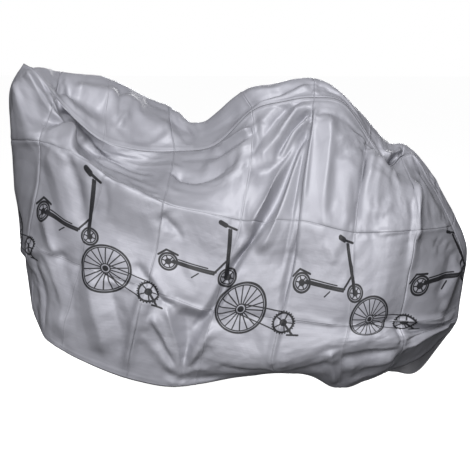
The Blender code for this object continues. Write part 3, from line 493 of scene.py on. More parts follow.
    Fold(((1.74, 0.105), (1.83, 0.145), (1.96, 0.18)), 0.010, 0.009, 0.008, 0.010),
    Fold(((1.76, 0.085), (1.85, 0.115), (1.96, 0.15)), -0.007, -0.007, 0.008, 0.008),
    Fold(((1.48, 0.105), (1.60, 0.115), (1.74, 0.125)), -0.009, -0.008, 0.008, 0.010),
    Fold(((1.47, 0.070), (1.60, 0.080), (1.75, 0.095)), 0.008, 0.009, 0.012, 0.016),
    Fold(((1.49, 0.045), (1.62, 0.055), (1.78, 0.07)), -0.009, -0.009, 0.008, 0.010),
    Fold(((1.52, 0.020), (1.64, 0.028), (1.78, 0.040)), 0.006, 0.006, 0.006, 0.008),
    Fold(((1.25, 0.055), (1.36, 0.085), (1.47, 0.105)), -0.007, -0.008, 0.008, 0.012),
]
FAR_CREASES = [
    # the part that comes over the front peak and shows above the weld
    Fold(((0.26, 0.955), (0.33, 0.968), (0.42, 0.970), (0.54, 0.960)), 0.010, 0.010, 0.016, 0.010),
    Fold(((0.28, 0.925), (0.345, 0.936), (0.41, 0.940), (0.50, 0.930)), -0.010, -0.010, 0.010, 0.008),
    Fold(((0.77, 0.86), (0.81, 0.855), (0.86, 0.855), (0.90, 0.87)), 0.012, 0.010, 0.020, 0.020),
    Fold(((0.64, 0.86), (0.70, 0.865), (0.76, 0.87)), -0.008, -0.010, 0.020, 0.020),
    Fold(((1.08, 0.925), (1.17, 0.925), (1.26, 0.92), (1.36, 0.93)), -0.009, -0.009, 0.030, 0.026),
    Fold(((0.74, 0.90), (0.79, 0.915), (0.84, 0.91)), -0.010, -0.008, 0.018, 0.014),
    Fold(((0.30, 0.92), (0.39, 0.905), (0.47, 0.90), (0.55, 0.885)), 0.007, 0.006, 0.010, 0.008),
    Fold(((0.55, 0.885), (0.52, 0.90), (0.50, 0.93)), 0.006, 0.005, 0.008, 0.010),
    Fold(((0.555, 0.885), (0.555, 0.92), (0.545, 0.95)), -0.007, -0.005, 0.006, 0.010),
    Fold(((0.59, 0.92), (0.56, 0.945), (0.53, 0.97)), 0.006, 0.005, 0.005, 0.007),
    Fold(((0.60, 0.90), (0.64, 0.92), (0.72, 0.94), (0.79, 0.955)), 0.007, 0.006, 0.012, 0.012),
    Fold(((0.62, 0.89), (0.68, 0.905), (0.75, 0.92)), -0.005, -0.005, 0.008, 0.010),
    Fold(((0.66, 0.985), (0.71, 0.97), (0.76, 0.945)), 0.006, 0.004, 0.006, 0.006),
    Fold(((0.57, 0.985), (0.66, 0.975), (0.76, 0.98)), -0.004, -0.004, 0.008, 0.006),
    Fold(((0.27, 0.90), (0.31, 0.92), (0.34, 0.93)), -0.005, -0.004, 0.010, 0.010),
    Fold(((0.23, 0.86), (0.35, 0.86), (0.48, 0.85), (0.60, 0.85)), 0.004, 0.004, 0.012, 0.012),
    # above the weld at the middle peak
    Fold(((0.92, 0.95), (0.98, 0.97), (1.06, 0.965), (1.16, 0.94)), -0.006, -0.005, 0.008, 0.008),
    Fold(((0.99, 0.985), (1.08, 0.98), (1.16, 0.96), (1.24, 0.93)), 0.005, 0.005, 0.008, 0.008),
    Fold(((0.98, 0.90), (1.08, 0.91), (1.18, 0.89)), 0.004, 0.004, 0.012, 0.012),
    Fold(((1.25, 0.88), (1.255, 0.94), (1.25, 0.99)), 0.005, 0.005, 0.006, 0.008),
    Fold(((1.28, 0.93), (1.36, 0.95), (1.44, 0.96)), -0.004, -0.004, 0.010, 0.010),
    # the pocket over the rear end
    Fold(((1.56, 0.975), (1.65, 0.95), (1.76, 0.945)), 0.007, 0.006, 0.008, 0.012),
    Fold(((1.58, 0.985), (1.63, 0.98), (1.70, 0.965)), -0.010, -0.008, 0.008, 0.008),
    Fold(((1.60, 0.96), (1.63, 0.965), (1.67, 0.98)), 0.006, 0.004, 0.006, 0.006),
    # the far wall
    Fold(((0.36, 0.80), (0.44, 0.62), (0.48, 0.42)), 0.007, 0.005, 0.014, 0.016, 1.4),
    Fold(((0.70, 0.80), (0.64, 0.64), (0.62, 0.46)), -0.006, -0.005, 0.014, 0.014, 1.4),
    Fold(((1.18, 0.80), (1.06, 0.66), (0.92, 0.56)), 0.008, 0.005, 0.014, 0.016, 1.6),
    Fold(((1.24, 0.80), (1.16, 0.62), (1.08, 0.46)), -0.008, -0.005, 0.012, 0.014, 1.6),
    Fold(((1.27, 0.82), (1.26, 0.62), (1.27, 0.44)), 0.007, 0.004, 0.010, 0.014, 1.3),
    Fold(((1.33, 0.80), (1.40, 0.64), (1.46, 0.50)), 0.006, 0.004, 0.012, 0.014, 1.4),
    Fold(((1.60, 0.84), (1.62, 0.66), (1.64, 0.46)), -0.005, -0.004, 0.012, 0.012, 1.2),
    Fold(((0.50, 0.30), (0.56, 0.18), (0.60, 0.04)), 0.006, 0.005, 0.012, 0.012, 1.3),
    Fold(((0.86, 0.30), (0.92, 0.16), (0.94, 0.03)), 0.006, 0.007, 0.014, 0.010, 0.7),
    Fold(((1.02, 0.30), (0.98, 0.16), (0.95, 0.03)), -0.006, -0.007, 0.014, 0.010, 0.7),
    Fold(((1.30, 0.30), (1.32, 0.18), (1.36, 0.04)), 0.005, 0.005, 0.012, 0.012),
    Fold(((1.60, 0.28), (1.70, 0.20), (1.82, 0.12)), 0.006, 0.005, 0.012, 0.012, 1.2),
]

# ---- places where the film has been crushed: wrinkles run out of them like rays ----
Star = namedtuple("Star", "u v reach rise rays")
NEAR_STARS = (
    Star(0.26, 0.66, 0.055, 0.0022, 7),
    Star(0.38, 0.67, 0.060, 0.0028, 8),
    Star(0.50, 0.90, 0.045, 0.0022, 7),
    Star(0.50, 0.67, 0.050, 0.0020, 7),
    Star(0.75, 0.335, 0.055, 0.0026, 8),
    Star(0.84, 0.31, 0.045, 0.0022, 7),
    Star(0.985, 0.80, 0.070, 0.0034, 9),
    Star(1.00, 0.67, 0.045, 0.0022, 7),
    Star(1.24, 0.90, 0.050, 0.0026, 8),
    Star(1.25, 0.335, 0.045, 0.0022, 7),
    Star(1.49, 0.93, 0.060, 0.0026, 9),
    Star(1.50, 0.67, 0.040, 0.0018, 6),
    Star(1.75, 0.67, 0.045, 0.0020, 6),
    Star(1.46, 0.09, 0.050, 0.0018, 9),
    Star(1.96, 0.68, 0.060, 0.0032, 10),
    Star(1.75, 0.335, 0.040, 0.0020, 6),
    Star(0.945, 0.05, 0.060, 0.0026, 8),
    Star(0.10, 0.93, 0.050, 0.0024, 8),
)
FAR_STARS = (
    Star(0.545, 0.965, 0.050, 0.0030, 9),
    Star(0.79, 0.965, 0.055, 0.0032, 9),
    Star(0.25, 0.96, 0.045, 0.0022, 7),
    Star(1.25, 0.95, 0.045, 0.0022, 7),
    Star(1.60, 0.97, 0.045, 0.0028, 8),
    Star(1.93, 0.80, 0.060, 0.0028, 8),
    Star(0.50, 0.67, 0.050, 0.0022, 7),
    Star(1.00, 0.67, 0.050, 0.0022, 7),
    Star(1.50, 0.67, 0.050, 0.0022, 7),
    Star(0.75, 0.335, 0.050, 0.0022, 7),
    Star(1.25, 0.335, 0.050, 0.0022, 7),
)

# ---- bands of fine wrinkles, side by side ------------------------------------------
# each band: where its middle is, how long the wrinkles are, how wide the band is, the
# direction of the wrinkles in degrees from level, how many there are and their height
Band = namedtuple("Band", "u v length width turn count rise")
NEAR_BANDS = (
    Band(1.60, 0.72, 0.110, 0.070, 4, 7, 0.0022),
    Band(1.42, 0.70, 0.100, 0.040, -6, 4, 0.0016),
    Band(0.62, 0.77, 0.150, 0.100, -12, 8, 0.0020),
    Band(0.88, 0.82, 0.120, 0.060, -8, 5, 0.0020),
    Band(0.50, 0.68, 0.120, 0.030, -3, 4, 0.0020),
    Band(1.62, 0.08, 0.160, 0.060, 12, 5, 0.0026),
    Band(1.86, 0.24, 0.160, 0.070, -6, 5, 0.0022),
    Band(1.14, 0.92, 0.120, 0.070, 50, 5, 0.0022),
    Band(1.90, 0.60, 0.080, 0.080, 60, 5, 0.0018),
)
FAR_BANDS = (
    Band(0.66, 0.96, 0.140, 0.050, -8, 6, 0.0022),
    Band(0.40, 0.97, 0.140, 0.030, -6, 4, 0.0018),
    Band(0.92, 0.92, 0.120, 0.050, 20, 5, 0.0018),
    Band(1.16, 0.72, 0.150, 0.090, 50, 6, 0.0020),
)

# ---- the creases of film that has been folded small --------------------------------
LOOSE_CREASES = 110         # short creases strewn over each panel
LOOSE_ALONG = (0.05, 1.95)  # where their middles lie
LOOSE_UP = (0.03, 0.97)
LOOSE_LENGTH = (0.05, 0.22)
LOOSE_WIDTH = (0.005, 0.014)
LOOSE_RISE = (0.0008, 0.0024)
LOOSE_TURN = 75             # degrees from upright, at the most, to either side
LOOSE_FLARE = 1.4
RAY_WIDTH = (0.006, 0.009)      # to the left and the right of the line of a star's ray
RAY_FLARE = 1.6
RAY_STRAY = 0.3             # how far a ray is off its even turn, as a share of the gap to the next
RAY_LENGTH = (0.6, 1.2)     # how its length varies
RAY_BEND = 0.15             # how far its middle is off a straight line, as a share of its length
RAY_BEHIND = 0.15           # how far behind the crushed place it begins, as the same
WRINKLE_WIDTH = (0.006, 0.008)  # to the left and the right of the line of a band's wrinkle
WRINKLE_LENGTH = (0.6, 1.1)
WRINKLE_STRAY = 0.02        # how far a wrinkle is shifted along the band
WRINKLE_BOW = 0.008         # how far its middle is off a straight line
UNEVEN = (0.7, 1.3)         # how the heights of rays and wrinkles vary
SEED = {"near": 11, "far": 23}

PACKING = ((0.0048, 0.018), (-0.0040, 0.0045))   # rise and reach of a packing crease, broad and sharp
WELD_GROOVE = 0.0016        # depth of the line in which the two panels meet
WELD_GROOVE_REACH = 0.0035
WELD_RIB = 0.0010           # the rib that the sealing bar leaves beside a weld
WELD_RIB_PLACE = 0.011      # from the weld
HEM_RIB_PLACE = 0.014       # from the hem
RIB_REACH = 0.0025

# cells of the sheets, along and up: from, to, size of a cell there
CELLS_ALONG = (
    (0.000, 0.015, 0.003),
    (0.015, 0.450, 0.0063),
    (0.450, 0.750, 0.0085),
    (0.750, 1.300, 0.0062),
    (1.300, 1.720, 0.0082),
    (1.720, 1.985, 0.0063),
    (1.985, 2.000, 0.003),
)
CELLS_UP = (
    (0.000, 0.024, 0.0040),
    (0.024, 0.340, 0.0075),
    (0.340, 0.640, 0.0100),
    (0.640, 0.976, 0.0060),
    (0.976, 1.000, 0.0024),
)
FINE_STEPS = (-0.0028, 0.0, 0.0028)     # extra places on and beside a packing crease

# ---- relief of the film between its creases --------------------------------------------
# A pair named SHOWN gives the chance at which something begins to show and shows in full.
# A pair named GRAIN gives how many finer layers a soft chance has, and how strong they are.

# sets of straight creases that cut the film into flat facets; each: the direction across
# them in degrees from level, and how far apart they are
FACETS = ((6, 0.074), (-24, 0.118), (38, 0.131), (-58, 0.157), (80, 0.103))
FACET_STRAY = 0.050         # how far a crease strays from its straight line
FACET_STRAYS = 3.0          # how many times it does so in a metre
FACET_SHOWN = (0.36, 0.60)
FILM_SIZES = {
    "Facet Slope": 0.045,   # how steep a facet is
    "Facet Patch": 0.45,    # size of the patches in which a set of creases shows
    "Rumple Size": 0.032,
    "Rumple Depth": 0.0002,
    "Thickness": FILM,
}

# relief finer than the mesh: heights in metres, and how many there are in a metre
SMALL_FACETS = ((-14, 0.021), (33, 0.034), (-51, 0.027), (71, 0.031), (-82, 0.019))
SMALL_SLOPE = 0.035         # how steep a small facet is
SMALL_PATCH = 0.11          # size of the patches in which a set of them shows
SOFT_WAVE = 0.0004
SOFT_WAVES = 22.0
SOFT_GRAIN = (4.0, 0.55)
CRACKLE = 0.0005
CRACKLES = 34.0
CRACKLE_STEEP = 3.0         # how fast a crackled cell rises from its border
CRACKLE_PATCHES = 5.0
CRACKLE_SHOWN = (0.42, 0.62)
STREAK = 0.0005
STREAKS = (9.0, 170.0, 1.0)     # along and up: the streaks are long and level
CREASE_LINE = 0.0034        # half the width of a packing crease's sharp line
CREASE_SUNK = 0.0022
RELIEF_STRENGTH = 0.6
SAME_POINT = 0.00001        # points of a sheet that are closer than this become one

# ---- print: line drawings in black, in two staggered rows --------------------------
LINE = 0.0030               # half the width of a heavy printed line
THIN = 0.0012               # how much less that is on a thin one
EDGE = 0.0006               # softness of a line's edge
PRINT_PITCH = 0.50          # from one drawing to the next like it
DRAWN = 1.30                # how large the drawings are, beside the sizes in their functions
WHEEL_ROW = 0.345           # height of the row of wheels on the flat panel
WHEEL_START = 0.16
SCOOTER_ROW = 0.535         # height of the row of scooters
SCOOTER_START = 0.41

# ---- colours and finishes ------------------------------------------------------------
SILVER = (0.222, 0.223, 0.251)
SILVER_WORN = (0.255, 0.256, 0.286)
INK = (0.010, 0.010, 0.012)
INK_COVER = 0.88            # how well the ink covers in its thin specks
INK_SPECKS = 420.0          # in a metre
SPECK_GRAIN = (2.0, 0.6)
INK_SHOWN = (0.30, 0.42)
INSIDE = (0.160, 0.160, 0.175)
INSIDE_WORN = 1.15          # how much lighter the inside is where it is worn
CLOUDS = 3.0                # worn places in a metre
CLOUD_GRAIN = (4.0, 0.6)
WORN_SHOWN = (0.35, 0.70)
CLOUDY_ROUGHNESS = 0.12     # how much rougher the film is there
SILVER_ROUGHNESS = 0.55
INSIDE_ROUGHNESS = 0.50
SILVER_METAL = 0.27         # how metallic the film's sheen is
INSIDE_METAL = 0.15
SPECULAR = 0.3
COAT = 0.10                 # weight of the film's smooth face, and how rough that is
COAT_ROUGHNESS = 0.28
FLOOR = (0.40, 0.40, 0.41)
FLOOR_ROUGHNESS = 0.9
FLOOR_GLOW = 0.96           # the floor's own light, which evens it out
WHITE = (1.0, 1.0, 1.0)

# ---- camera, floor and light -----------------------------------------------------------
FRAME_SIZE = 470            # the photograph's width and height in pixels
FOCAL = 1280                # focal length in those pixels
SENSOR = 36.0
AIM = (0.0, 0.0, 0.478)     # what the camera looks at, in the tables' own places
DISTANCE = 4.0
TURNED = radians(8)         # how far the camera has gone round towards the rear end
RAISED = radians(8)         # how far it looks down
FLOOR_HALF = 60.0           # half the floor's width
LAMP_AIM = (0.0, 0.0, 0.5)
Lamp = namedtuple("Lamp", "name place size power")
LAMPS = (
    Lamp("key", (0.3, -3.4, 3.2), 1.9, 275),    # broad and high, in front
    Lamp("low", (0.3, -4.1, 0.8), 2.0, 130),
    Lamp("back", (0.2, 4.0, 1.7), 2.4, 250),
)
FILL = 0.05                 # how bright the surround is to the film
SURROUND = 1.0              # and to the camera


# ---- the hanging surface -------------------------------------------------------------
def smooth_curve(knots, values, at):
    """A smooth curve through the values at the knots, read at the places in at."""
    knots = np.asarray(knots, float)
    values = np.asarray(values, float)
    step = np.diff(knots)[:, None]
    slope = np.diff(values, axis=0) / step
    tangent = np.empty_like(values)
    tangent[1:-1] = (slope[:-1] * step[1:] + slope[1:] * step[:-1]) / (step[1:] + step[:-1])
    tangent[0] = slope[0]
    tangent[-1] = slope[-1]
    cell = np.clip(np.searchsorted(knots, at, side="right") - 1, 0, len(knots) - 2)
    width = step[cell]
    t = (np.asarray(at, float)[:, None] - knots[cell][:, None]) / width
    return (
        values[cell] * (1 + 2 * t) * (1 - t) ** 2
        + tangent[cell] * width * t * (1 - t) ** 2
        + values[cell + 1] * t**2 * (3 - 2 * t)
        - tangent[cell + 1] * width * t**2 * (1 - t)
    )


def panel_lines(side):
    """The seven lines of one panel; the far ones take their ends from the near ones."""
    if side == "near":
        return [np.array(line) for line in NEAR_LINES]
    lines = []
    for near, far in zip(NEAR_LINES[:-1], FAR_LINES[:-1]):
        lines.append(np.array([near[0], *far, near[-1]]))
    return lines + [np.array(TOP_WELD)]


def hanging_net(side, us, vs):
    """Points of one panel before its folds, as an array of rows by columns by xyz."""
    rows = [smooth_curve(line[:, U], line[:, X : Z + 1], us) for line in panel_lines(side)]
    flat = np.stack(rows).reshape(len(rows), -1)
    return smooth_curve(LINE_HEIGHTS, flat, vs).reshape(len(vs), len(us), 3)


def unit(vectors):
    """The same directions with a length of one."""
    return vectors / np.linalg.norm(vectors, axis=-1, keepdims=True)


def outward(points, side):
    """Outward directions on a panel's grid of points."""
    along = np.gradient(points, axis=1)
    up = np.gradient(points, axis=0)
    sign = 1.0 if side == "near" else -1.0
    return unit(sign * np.cross(along, up))


def shared_outward(near, far):
    """Outward directions of both panels, alike along the welds that they share."""
    near_out = outward(near, "near")
    far_out = outward(far, "far")
    for weld in ((-1, slice(1, -1)), (slice(0, -1), 0), (slice(0, -1), -1)):
        both = unit(near_out[weld] + far_out[weld])
        near_out[weld] = both
        far_out[weld] = both
    for column, beside in ((0, 1), (-1, -2)):
        corner = unit(near_out[-1, beside] + near_out[-2, column])
        near_out[-1, column] = corner
        far_out[-1, column] = corner
    return near_out, far_out


# ---- relief of the folds and creases ---------------------------------------------------
def soft_step(share):
    """Nought at nought and below, one at one and above, smooth between."""
    share = np.clip(share, 0.0, 1.0)
    return share * share * (3.0 - 2.0 * share)


def by_turns(number):
    """Minus one, one, minus one and so on, so that troughs and ridges follow each other."""
    return 1 if number % 2 else -1


def heading(turn):
    """The direction on the flat panel at an angle from level, and the one across it."""
    return np.array((cos(turn), sin(turn))), np.array((-sin(turn), cos(turn)))


def fold_path(points):
    """A fold's points joined by a smooth curve, and how far along it each lies."""
    points = np.array(points, float)
    reach = np.concatenate([[0.0], np.cumsum(np.linalg.norm(np.diff(points, axis=0), axis=1))])
    if len(points) == 2:
        return points, reach / reach[-1]
    at = np.linspace(0.0, reach[-1], PATH_STEPS * (len(points) - 1) + 1)
    return smooth_curve(reach, points, at), at / reach[-1]


def add_fold(relief, flat_points, fold, crest, flat_flanks=False):
    """Raise or sink the relief round one fold's line."""
    path, share = fold_path(fold.points)
    widest = FOLD_REACH * max(fold.left, fold.right) * max(1.0, fold.flare)
    low = path.min(axis=0) - widest
    high = path.max(axis=0) + widest
    close = np.all((flat_points > low) & (flat_points < high), axis=1)
    points = flat_points[close]
    nearest = np.full(len(points), np.inf)
    side = np.zeros(len(points))
    along = np.zeros(len(points))
    for a, b, s0, s1 in zip(path[:-1], path[1:], share[:-1], share[1:]):
        run = b - a
        offset = points - a
        t = np.clip(offset @ run / (run @ run), 0.0, 1.0)
        gap = offset - t[:, None] * run
        distance = np.hypot(gap[:, 0], gap[:, 1])
        closer = distance < nearest
        nearest = np.where(closer, distance, nearest)
        cross = run[0] * offset[:, 1] - run[1] * offset[:, 0]
        side = np.where(closer, cross, side)
        along = np.where(closer, s0 + t * (s1 - s0), along)
    width = np.where(side > 0.0, fold.left, fold.right) * (1.0 + (fold.flare - 1.0) * along)
    round_off = crest * width
    away = (np.sqrt(nearest**2 + round_off**2) - round_off) / width
    if flat_flanks:
        left_over = 1.0 - away / FLANK
        fall = 0.5 * (left_over + np.sqrt(left_over**2 + SOFT_FOOT**2))
    else:
        fall = np.exp(-away)
    fade = soft_step(np.minimum(along, 1.0 - along) / FOLD_FADE)
    relief[close] += (fold.start + (fold.end - fold.start) * along) * fall * fade


def star_creases(star, chance):
    """Short creases that run out of a crushed place."""
    creases = []
    for ray in range(star.rays):
        way, across = heading(2 * pi * (ray + chance.uniform(-RAY_STRAY, RAY_STRAY)) / star.rays)
        reach = star.reach * chance.uniform(*RAY_LENGTH)
        bend = across * reach * chance.uniform(-RAY_BEND, RAY_BEND)
        start = np.array((star.u, star.v)) - RAY_BEHIND * reach * way
        points = (start, start + 0.5 * reach * way + bend, start + reach * way)
        rise = star.rise * by_turns(ray) * chance.uniform(*UNEVEN)
        creases.append(Fold(points, rise, rise, *RAY_WIDTH, RAY_FLARE))
    return creases


def band_creases(band, chance):
    """Fine wrinkles side by side, none quite like the next."""
    way, across = heading(radians(band.turn))
    creases = []
    for number in range(band.count):
        shift = band.width * ((number + 0.5) / band.count - 0.5)
        stray = chance.uniform(-WRINKLE_STRAY, WRINKLE_STRAY)
        middle = np.array((band.u, band.v)) + across * shift + way * stray
        half = 0.5 * band.length * chance.uniform(*WRINKLE_LENGTH)
        bow = across * chance.uniform(-WRINKLE_BOW, WRINKLE_BOW)
        points = (middle - half * way, middle + bow, middle + half * way)
        rise = band.rise * by_turns(number) * chance.uniform(*UNEVEN)
        creases.append(Fold(points, rise, rise, *WRINKLE_WIDTH))
    return creases


def loose_creases(chance):
    """Short creases strewn over a panel, most of them nearer to upright than to level."""
    creases = []
    for number in range(LOOSE_CREASES):
        middle = np.array((chance.uniform(*LOOSE_ALONG), chance.uniform(*LOOSE_UP)))
        way = heading(radians(90 + chance.uniform(-LOOSE_TURN, LOOSE_TURN)))[0]
        half = 0.5 * chance.uniform(*LOOSE_LENGTH) * way
        rise = chance.uniform(*LOOSE_RISE) * by_turns(number)
        left, right = chance.uniform(*LOOSE_WIDTH, size=2)
        creases.append(Fold((middle - half, middle + half), rise, rise, left, right, LOOSE_FLARE))
    return creases


def packing_relief(flat_points):
    """The packing creases: ridges and troughs by turns, on a grid of straight lines."""
    relief = np.zeros(len(flat_points))
    lines = [(0, u) for u in UPRIGHT_CREASES] + [(1, v) for v in LEVEL_CREASES]
    for number, (axis, place) in enumerate(lines):
        distance = np.abs(flat_points[:, axis] - place)
        for rise, reach in PACKING:
            relief -= by_turns(number) * rise * np.exp(-distance / reach)
    return relief


def from_seam(us, vs):
    """How far each place of a panel is from the nearest weld."""
    from_weld = (PANEL_HEIGHT - vs)[:, None]
    from_ends = np.minimum(us, PANEL_LENGTH - us)[None, :]
    return np.minimum(from_weld, from_ends)


def edge_hold(us, vs):
    """Nought on the welds, where the two panels share one line, and one inside."""
    return soft_step(from_seam(us, vs) / WELD_HOLD)


def rib(distance):
    """Height of the low round rib at a distance from its crest."""
    return WELD_RIB * np.exp(-((distance / RIB_REACH) ** 2))


def seam_relief(us, vs):
    """The groove in which the panels meet, the rib beside it, and the rib of the hem."""
    away = from_seam(us, vs)
    groove = -WELD_GROOVE * np.exp(-away / WELD_GROOVE_REACH)
    return groove + rib(away - WELD_RIB_PLACE) + rib(vs - HEM_RIB_PLACE)[:, None]


def panel_relief(side, us, vs):
    """How far each place of a panel stands out of the hanging surface."""
    near = side == "near"
    flat_points = np.stack(np.meshgrid(us, vs), axis=-1).reshape(-1, 2)
    relief = packing_relief(flat_points)
    chance = np.random.default_rng(SEED[side])
    small = list(NEAR_CREASES if near else FAR_CREASES)
    for star in NEAR_STARS if near else FAR_STARS:
        small += star_creases(star, chance)
    for band in NEAR_BANDS if near else FAR_BANDS:
        small += band_creases(band, chance)
    small += loose_creases(chance)
    for fold in NEAR_FOLDS if near else FAR_FOLDS:
        add_fold(relief, flat_points, fold, ROUND_CREST)
    for fold in small:
        add_fold(relief, flat_points, fold, CRISP_CREST, flat_flanks=True)
    relief = relief.reshape(len(vs), len(us))
    return relief * edge_hold(us, vs) + seam_relief(us, vs)


def places(cells, creases):
    """Places along a panel: even cells in each stretch, and more on and beside a crease."""
    marks = [np.array([cells[0][0]])]
    for start, end, size in cells:
        marks.append(np.linspace(start, end, round((end - start) / size) + 1)[1:])
    even = np.concatenate(marks)
    fine = np.array([crease + step for crease in creases for step in FINE_STEPS])
    apart = np.abs(even[:, None] - fine[None, :]).min(axis=1)
    return np.sort(np.concatenate([even[apart > 0.5 * FINE_STEPS[-1]], fine]))


# ---- node trees ------------------------------------------------------------------------
class Socket:
    """A value inside a node tree; sums with it add Math nodes."""

    def __init__(self, nodes, output):
        self.nodes = nodes
        self.output = output

    def __add__(self, other):
        return self.nodes.math("ADD", self, other)

    def __radd__(self, other):
        return self.nodes.math("ADD", other, self)

    def __sub__(self, other):
        return self.nodes.math("SUBTRACT", self, other)

    def __rsub__(self, other):
        return self.nodes.math("SUBTRACT", other, self)

    def __mul__(self, other):
        return self.nodes.math("MULTIPLY", self, other)

    def __rmul__(self, other):
        return self.nodes.math("MULTIPLY", other, self)

    def __truediv__(self, other):
        return self.nodes.math("DIVIDE", self, other)

    def __rtruediv__(self, other):
        return self.nodes.math("DIVIDE", other, self)

    def __abs__(self):
        return self.nodes.math("ABSOLUTE", self)


class Nodes:
    """Adds nodes to one tree, of a material, a piece's geometry or the surround."""

    def __init__(self, tree):
        self.tree = tree

    def add(self, kind, settings=None, sockets=None, output=0):
        """A node of the given type; returns one of its outputs."""
        node = self.tree.nodes.new(kind)
        for name, value in (settings or {}).items():
            setattr(node, name, value)
        for name, value in (sockets or {}).items():
            self.set(node.inputs[name], value)
        return Socket(self, node.outputs[output])

    def set(self, place, value):
        """Link a value, or each of a list of them, into a node's socket, or write it there."""
        if isinstance(value, Socket):
            self.tree.links.new(value.output, place)
        elif isinstance(value, list):
            for one in value:
                self.tree.links.new(one.output, place)
        else:
            place.default_value = value

    def other(self, socket, name):
        """Another output of the same node."""
        return Socket(self, socket.output.node.outputs[name])

    def math(self, operation, first, second=0.0):
        """A sum of two values."""
        return self.add("ShaderNodeMath", {"operation": operation}, {0: first, 1: second})

    def vector(self, operation, first, second, output=0):
        """A sum of two vectors."""
        sockets = {0: first, 1: second}
        return self.add("ShaderNodeVectorMath", {"operation": operation}, sockets, output)

    def least(self, values):
        """The smallest of several values."""
        smallest = values[0]
        for value in values[1:]:
            smallest = self.math("MINIMUM", smallest, value)
        return smallest

    def clamp(self, value):
        """The value, but at least nought and at most one."""
        return self.math("MINIMUM", self.math("MAXIMUM", value, 0.0), 1.0)

    def step(self, value, low, high):
        """Nought below low, one above high, smooth between."""
        settings = {"interpolation_type": "SMOOTHSTEP"}
        sockets = {"Value": value, "From Min": low, "From Max": high, "To Min": 0.0, "To Max": 1.0}
        return self.add("ShaderNodeMapRange", settings, sockets)

    def length(self, x, y):
        """How long a step of x and y is."""
        return self.math("SQRT", x * x + y * y)

    def mix_colour(self, share, first, second):
        """From the first colour to the second as the share goes from nought to one."""
        node = self.add("ShaderNodeMix", {"data_type": "RGBA"}, {"Factor": share}).output.node
        self.set(node.inputs[6], first)
        self.set(node.inputs[7], second)
        return Socket(self, node.outputs[2])

    def noise(self, place, scale, detail=2.0, roughness=0.5):
        """Soft chance from nought to one."""
        settings = {"noise_dimensions": "3D"}
        sockets = {"Vector": place, "Scale": scale, "Detail": detail, "Roughness": roughness}
        return self.add("ShaderNodeTexNoise", settings, sockets)

    def cracks(self, place, scale):
        """How far a place is from the borders of scattered cells."""
        settings = {"feature": "DISTANCE_TO_EDGE"}
        return self.add("ShaderNodeTexVoronoi", settings, {"Vector": place, "Scale": scale})


def facet_set(nodes, place, turn, apart, patch):
    """Height of one set of flat strips that lean to and fro, where that set shows."""
    way = (cos(radians(turn)), sin(radians(turn)), 0.0)
    own_place = nodes.vector("ADD", place, (0.0, 0.0, float(turn)))
    across = nodes.vector("DOT_PRODUCT", place, way, "Value")
    stray = (nodes.noise(own_place, FACET_STRAYS, 0.0) - 0.5) * FACET_STRAY
    lean = nodes.math("PINGPONG", across + stray, apart) - 0.5 * apart
    return lean * nodes.step(nodes.noise(own_place, 1 / patch, 0.0), *FACET_SHOWN)


# ---- the drawings of the print ---------------------------------------------------------
class Pen:
    """Distances from the marks of one drawing, whose middle is nought."""

    def __init__(self, nodes, x, y):
        self.nodes = nodes
        self.x = x
        self.y = y

    def from_point(self, point):
        """How far the place is from a point."""
        return self.nodes.length(self.x - point[0], self.y - point[1])

    def ring(self, centre, radius):
        """A drawn circle."""
        return abs(self.from_point(centre) - radius)

    def disc(self, centre, radius):
        """A filled round spot."""
        return self.nodes.math("MAXIMUM", self.from_point(centre) - radius, 0.0)

    def stroke(self, start, end):
        """A straight stroke."""
        run = (end[0] - start[0], end[1] - start[1])
        square = run[0] ** 2 + run[1] ** 2
        away = (self.x - start[0], self.y - start[1])
        share = self.nodes.clamp((away[0] * run[0] + away[1] * run[1]) / square)
        return self.nodes.length(away[0] - share * run[0], away[1] - share * run[1])

    def spokes(self, centre, inner, outer, count):
        """A fan of even spokes."""
        from_x = self.x - centre[0]
        from_y = self.y - centre[1]
        radius = self.nodes.length(from_x, from_y)
        turn = self.nodes.math("ARCTAN2", from_y, from_x) * (count / (2 * pi))
        aside = abs(self.nodes.math("FRACT", turn + 0.5) - 0.5) * radius * (2 * pi / count)
        beyond = self.nodes.math("MAXIMUM", radius - outer, inner - radius)
        return self.nodes.math("MAXIMUM", aside, beyond)

    def drawing(self, heavy, light):
        """All the heavy and light marks together."""
        return self.nodes.least([*heavy, self.nodes.least(light) + THIN])


def beside(point, right, up):
    """The place that far to the right of a point and above it."""
    return (point[0] + right, point[1] + up)


def tile(nodes, place, start, pitch):
    """A place along a row of drawings, measured from the middle of the nearest one."""
    return nodes.math("FRACT", (place - start) / pitch + 0.5) * pitch - 0.5 * pitch


def wheel_drawing(pen):
    """A spoked wheel with its chain, chain ring and crank."""
    wheel = (-0.050, 0.010)
    axle, hub, rim, tyre = (0.006, 0.014, 0.064, 0.070)     # radii
    chain_ring = (0.078, -0.018)
    boss, ring, teeth = (0.007, 0.027, 0.031)       # radii
    pedal = (0.110, -0.052)
    heavy = [
        pen.ring(wheel, tyre),
        pen.ring(chain_ring, ring),
        pen.stroke(chain_ring, pedal),
        pen.stroke(beside(pedal, -0.014, 0), beside(pedal, 0.014, 0)),
        pen.disc(chain_ring, boss),
        pen.disc(wheel, axle),
    ]
    light = [
        pen.ring(wheel, rim),
        pen.ring(wheel, hub),
        pen.spokes(wheel, hub, rim, 18),
        pen.spokes(chain_ring, boss, ring, 5),
        pen.spokes(chain_ring, ring, teeth, 26),
        pen.stroke(beside(wheel, 0.003, hub), beside(chain_ring, 0.006, ring)),
        pen.stroke(beside(wheel, -0.003, -hub), beside(chain_ring, -0.006, -ring)),
    ]
    return pen.drawing(heavy, light)


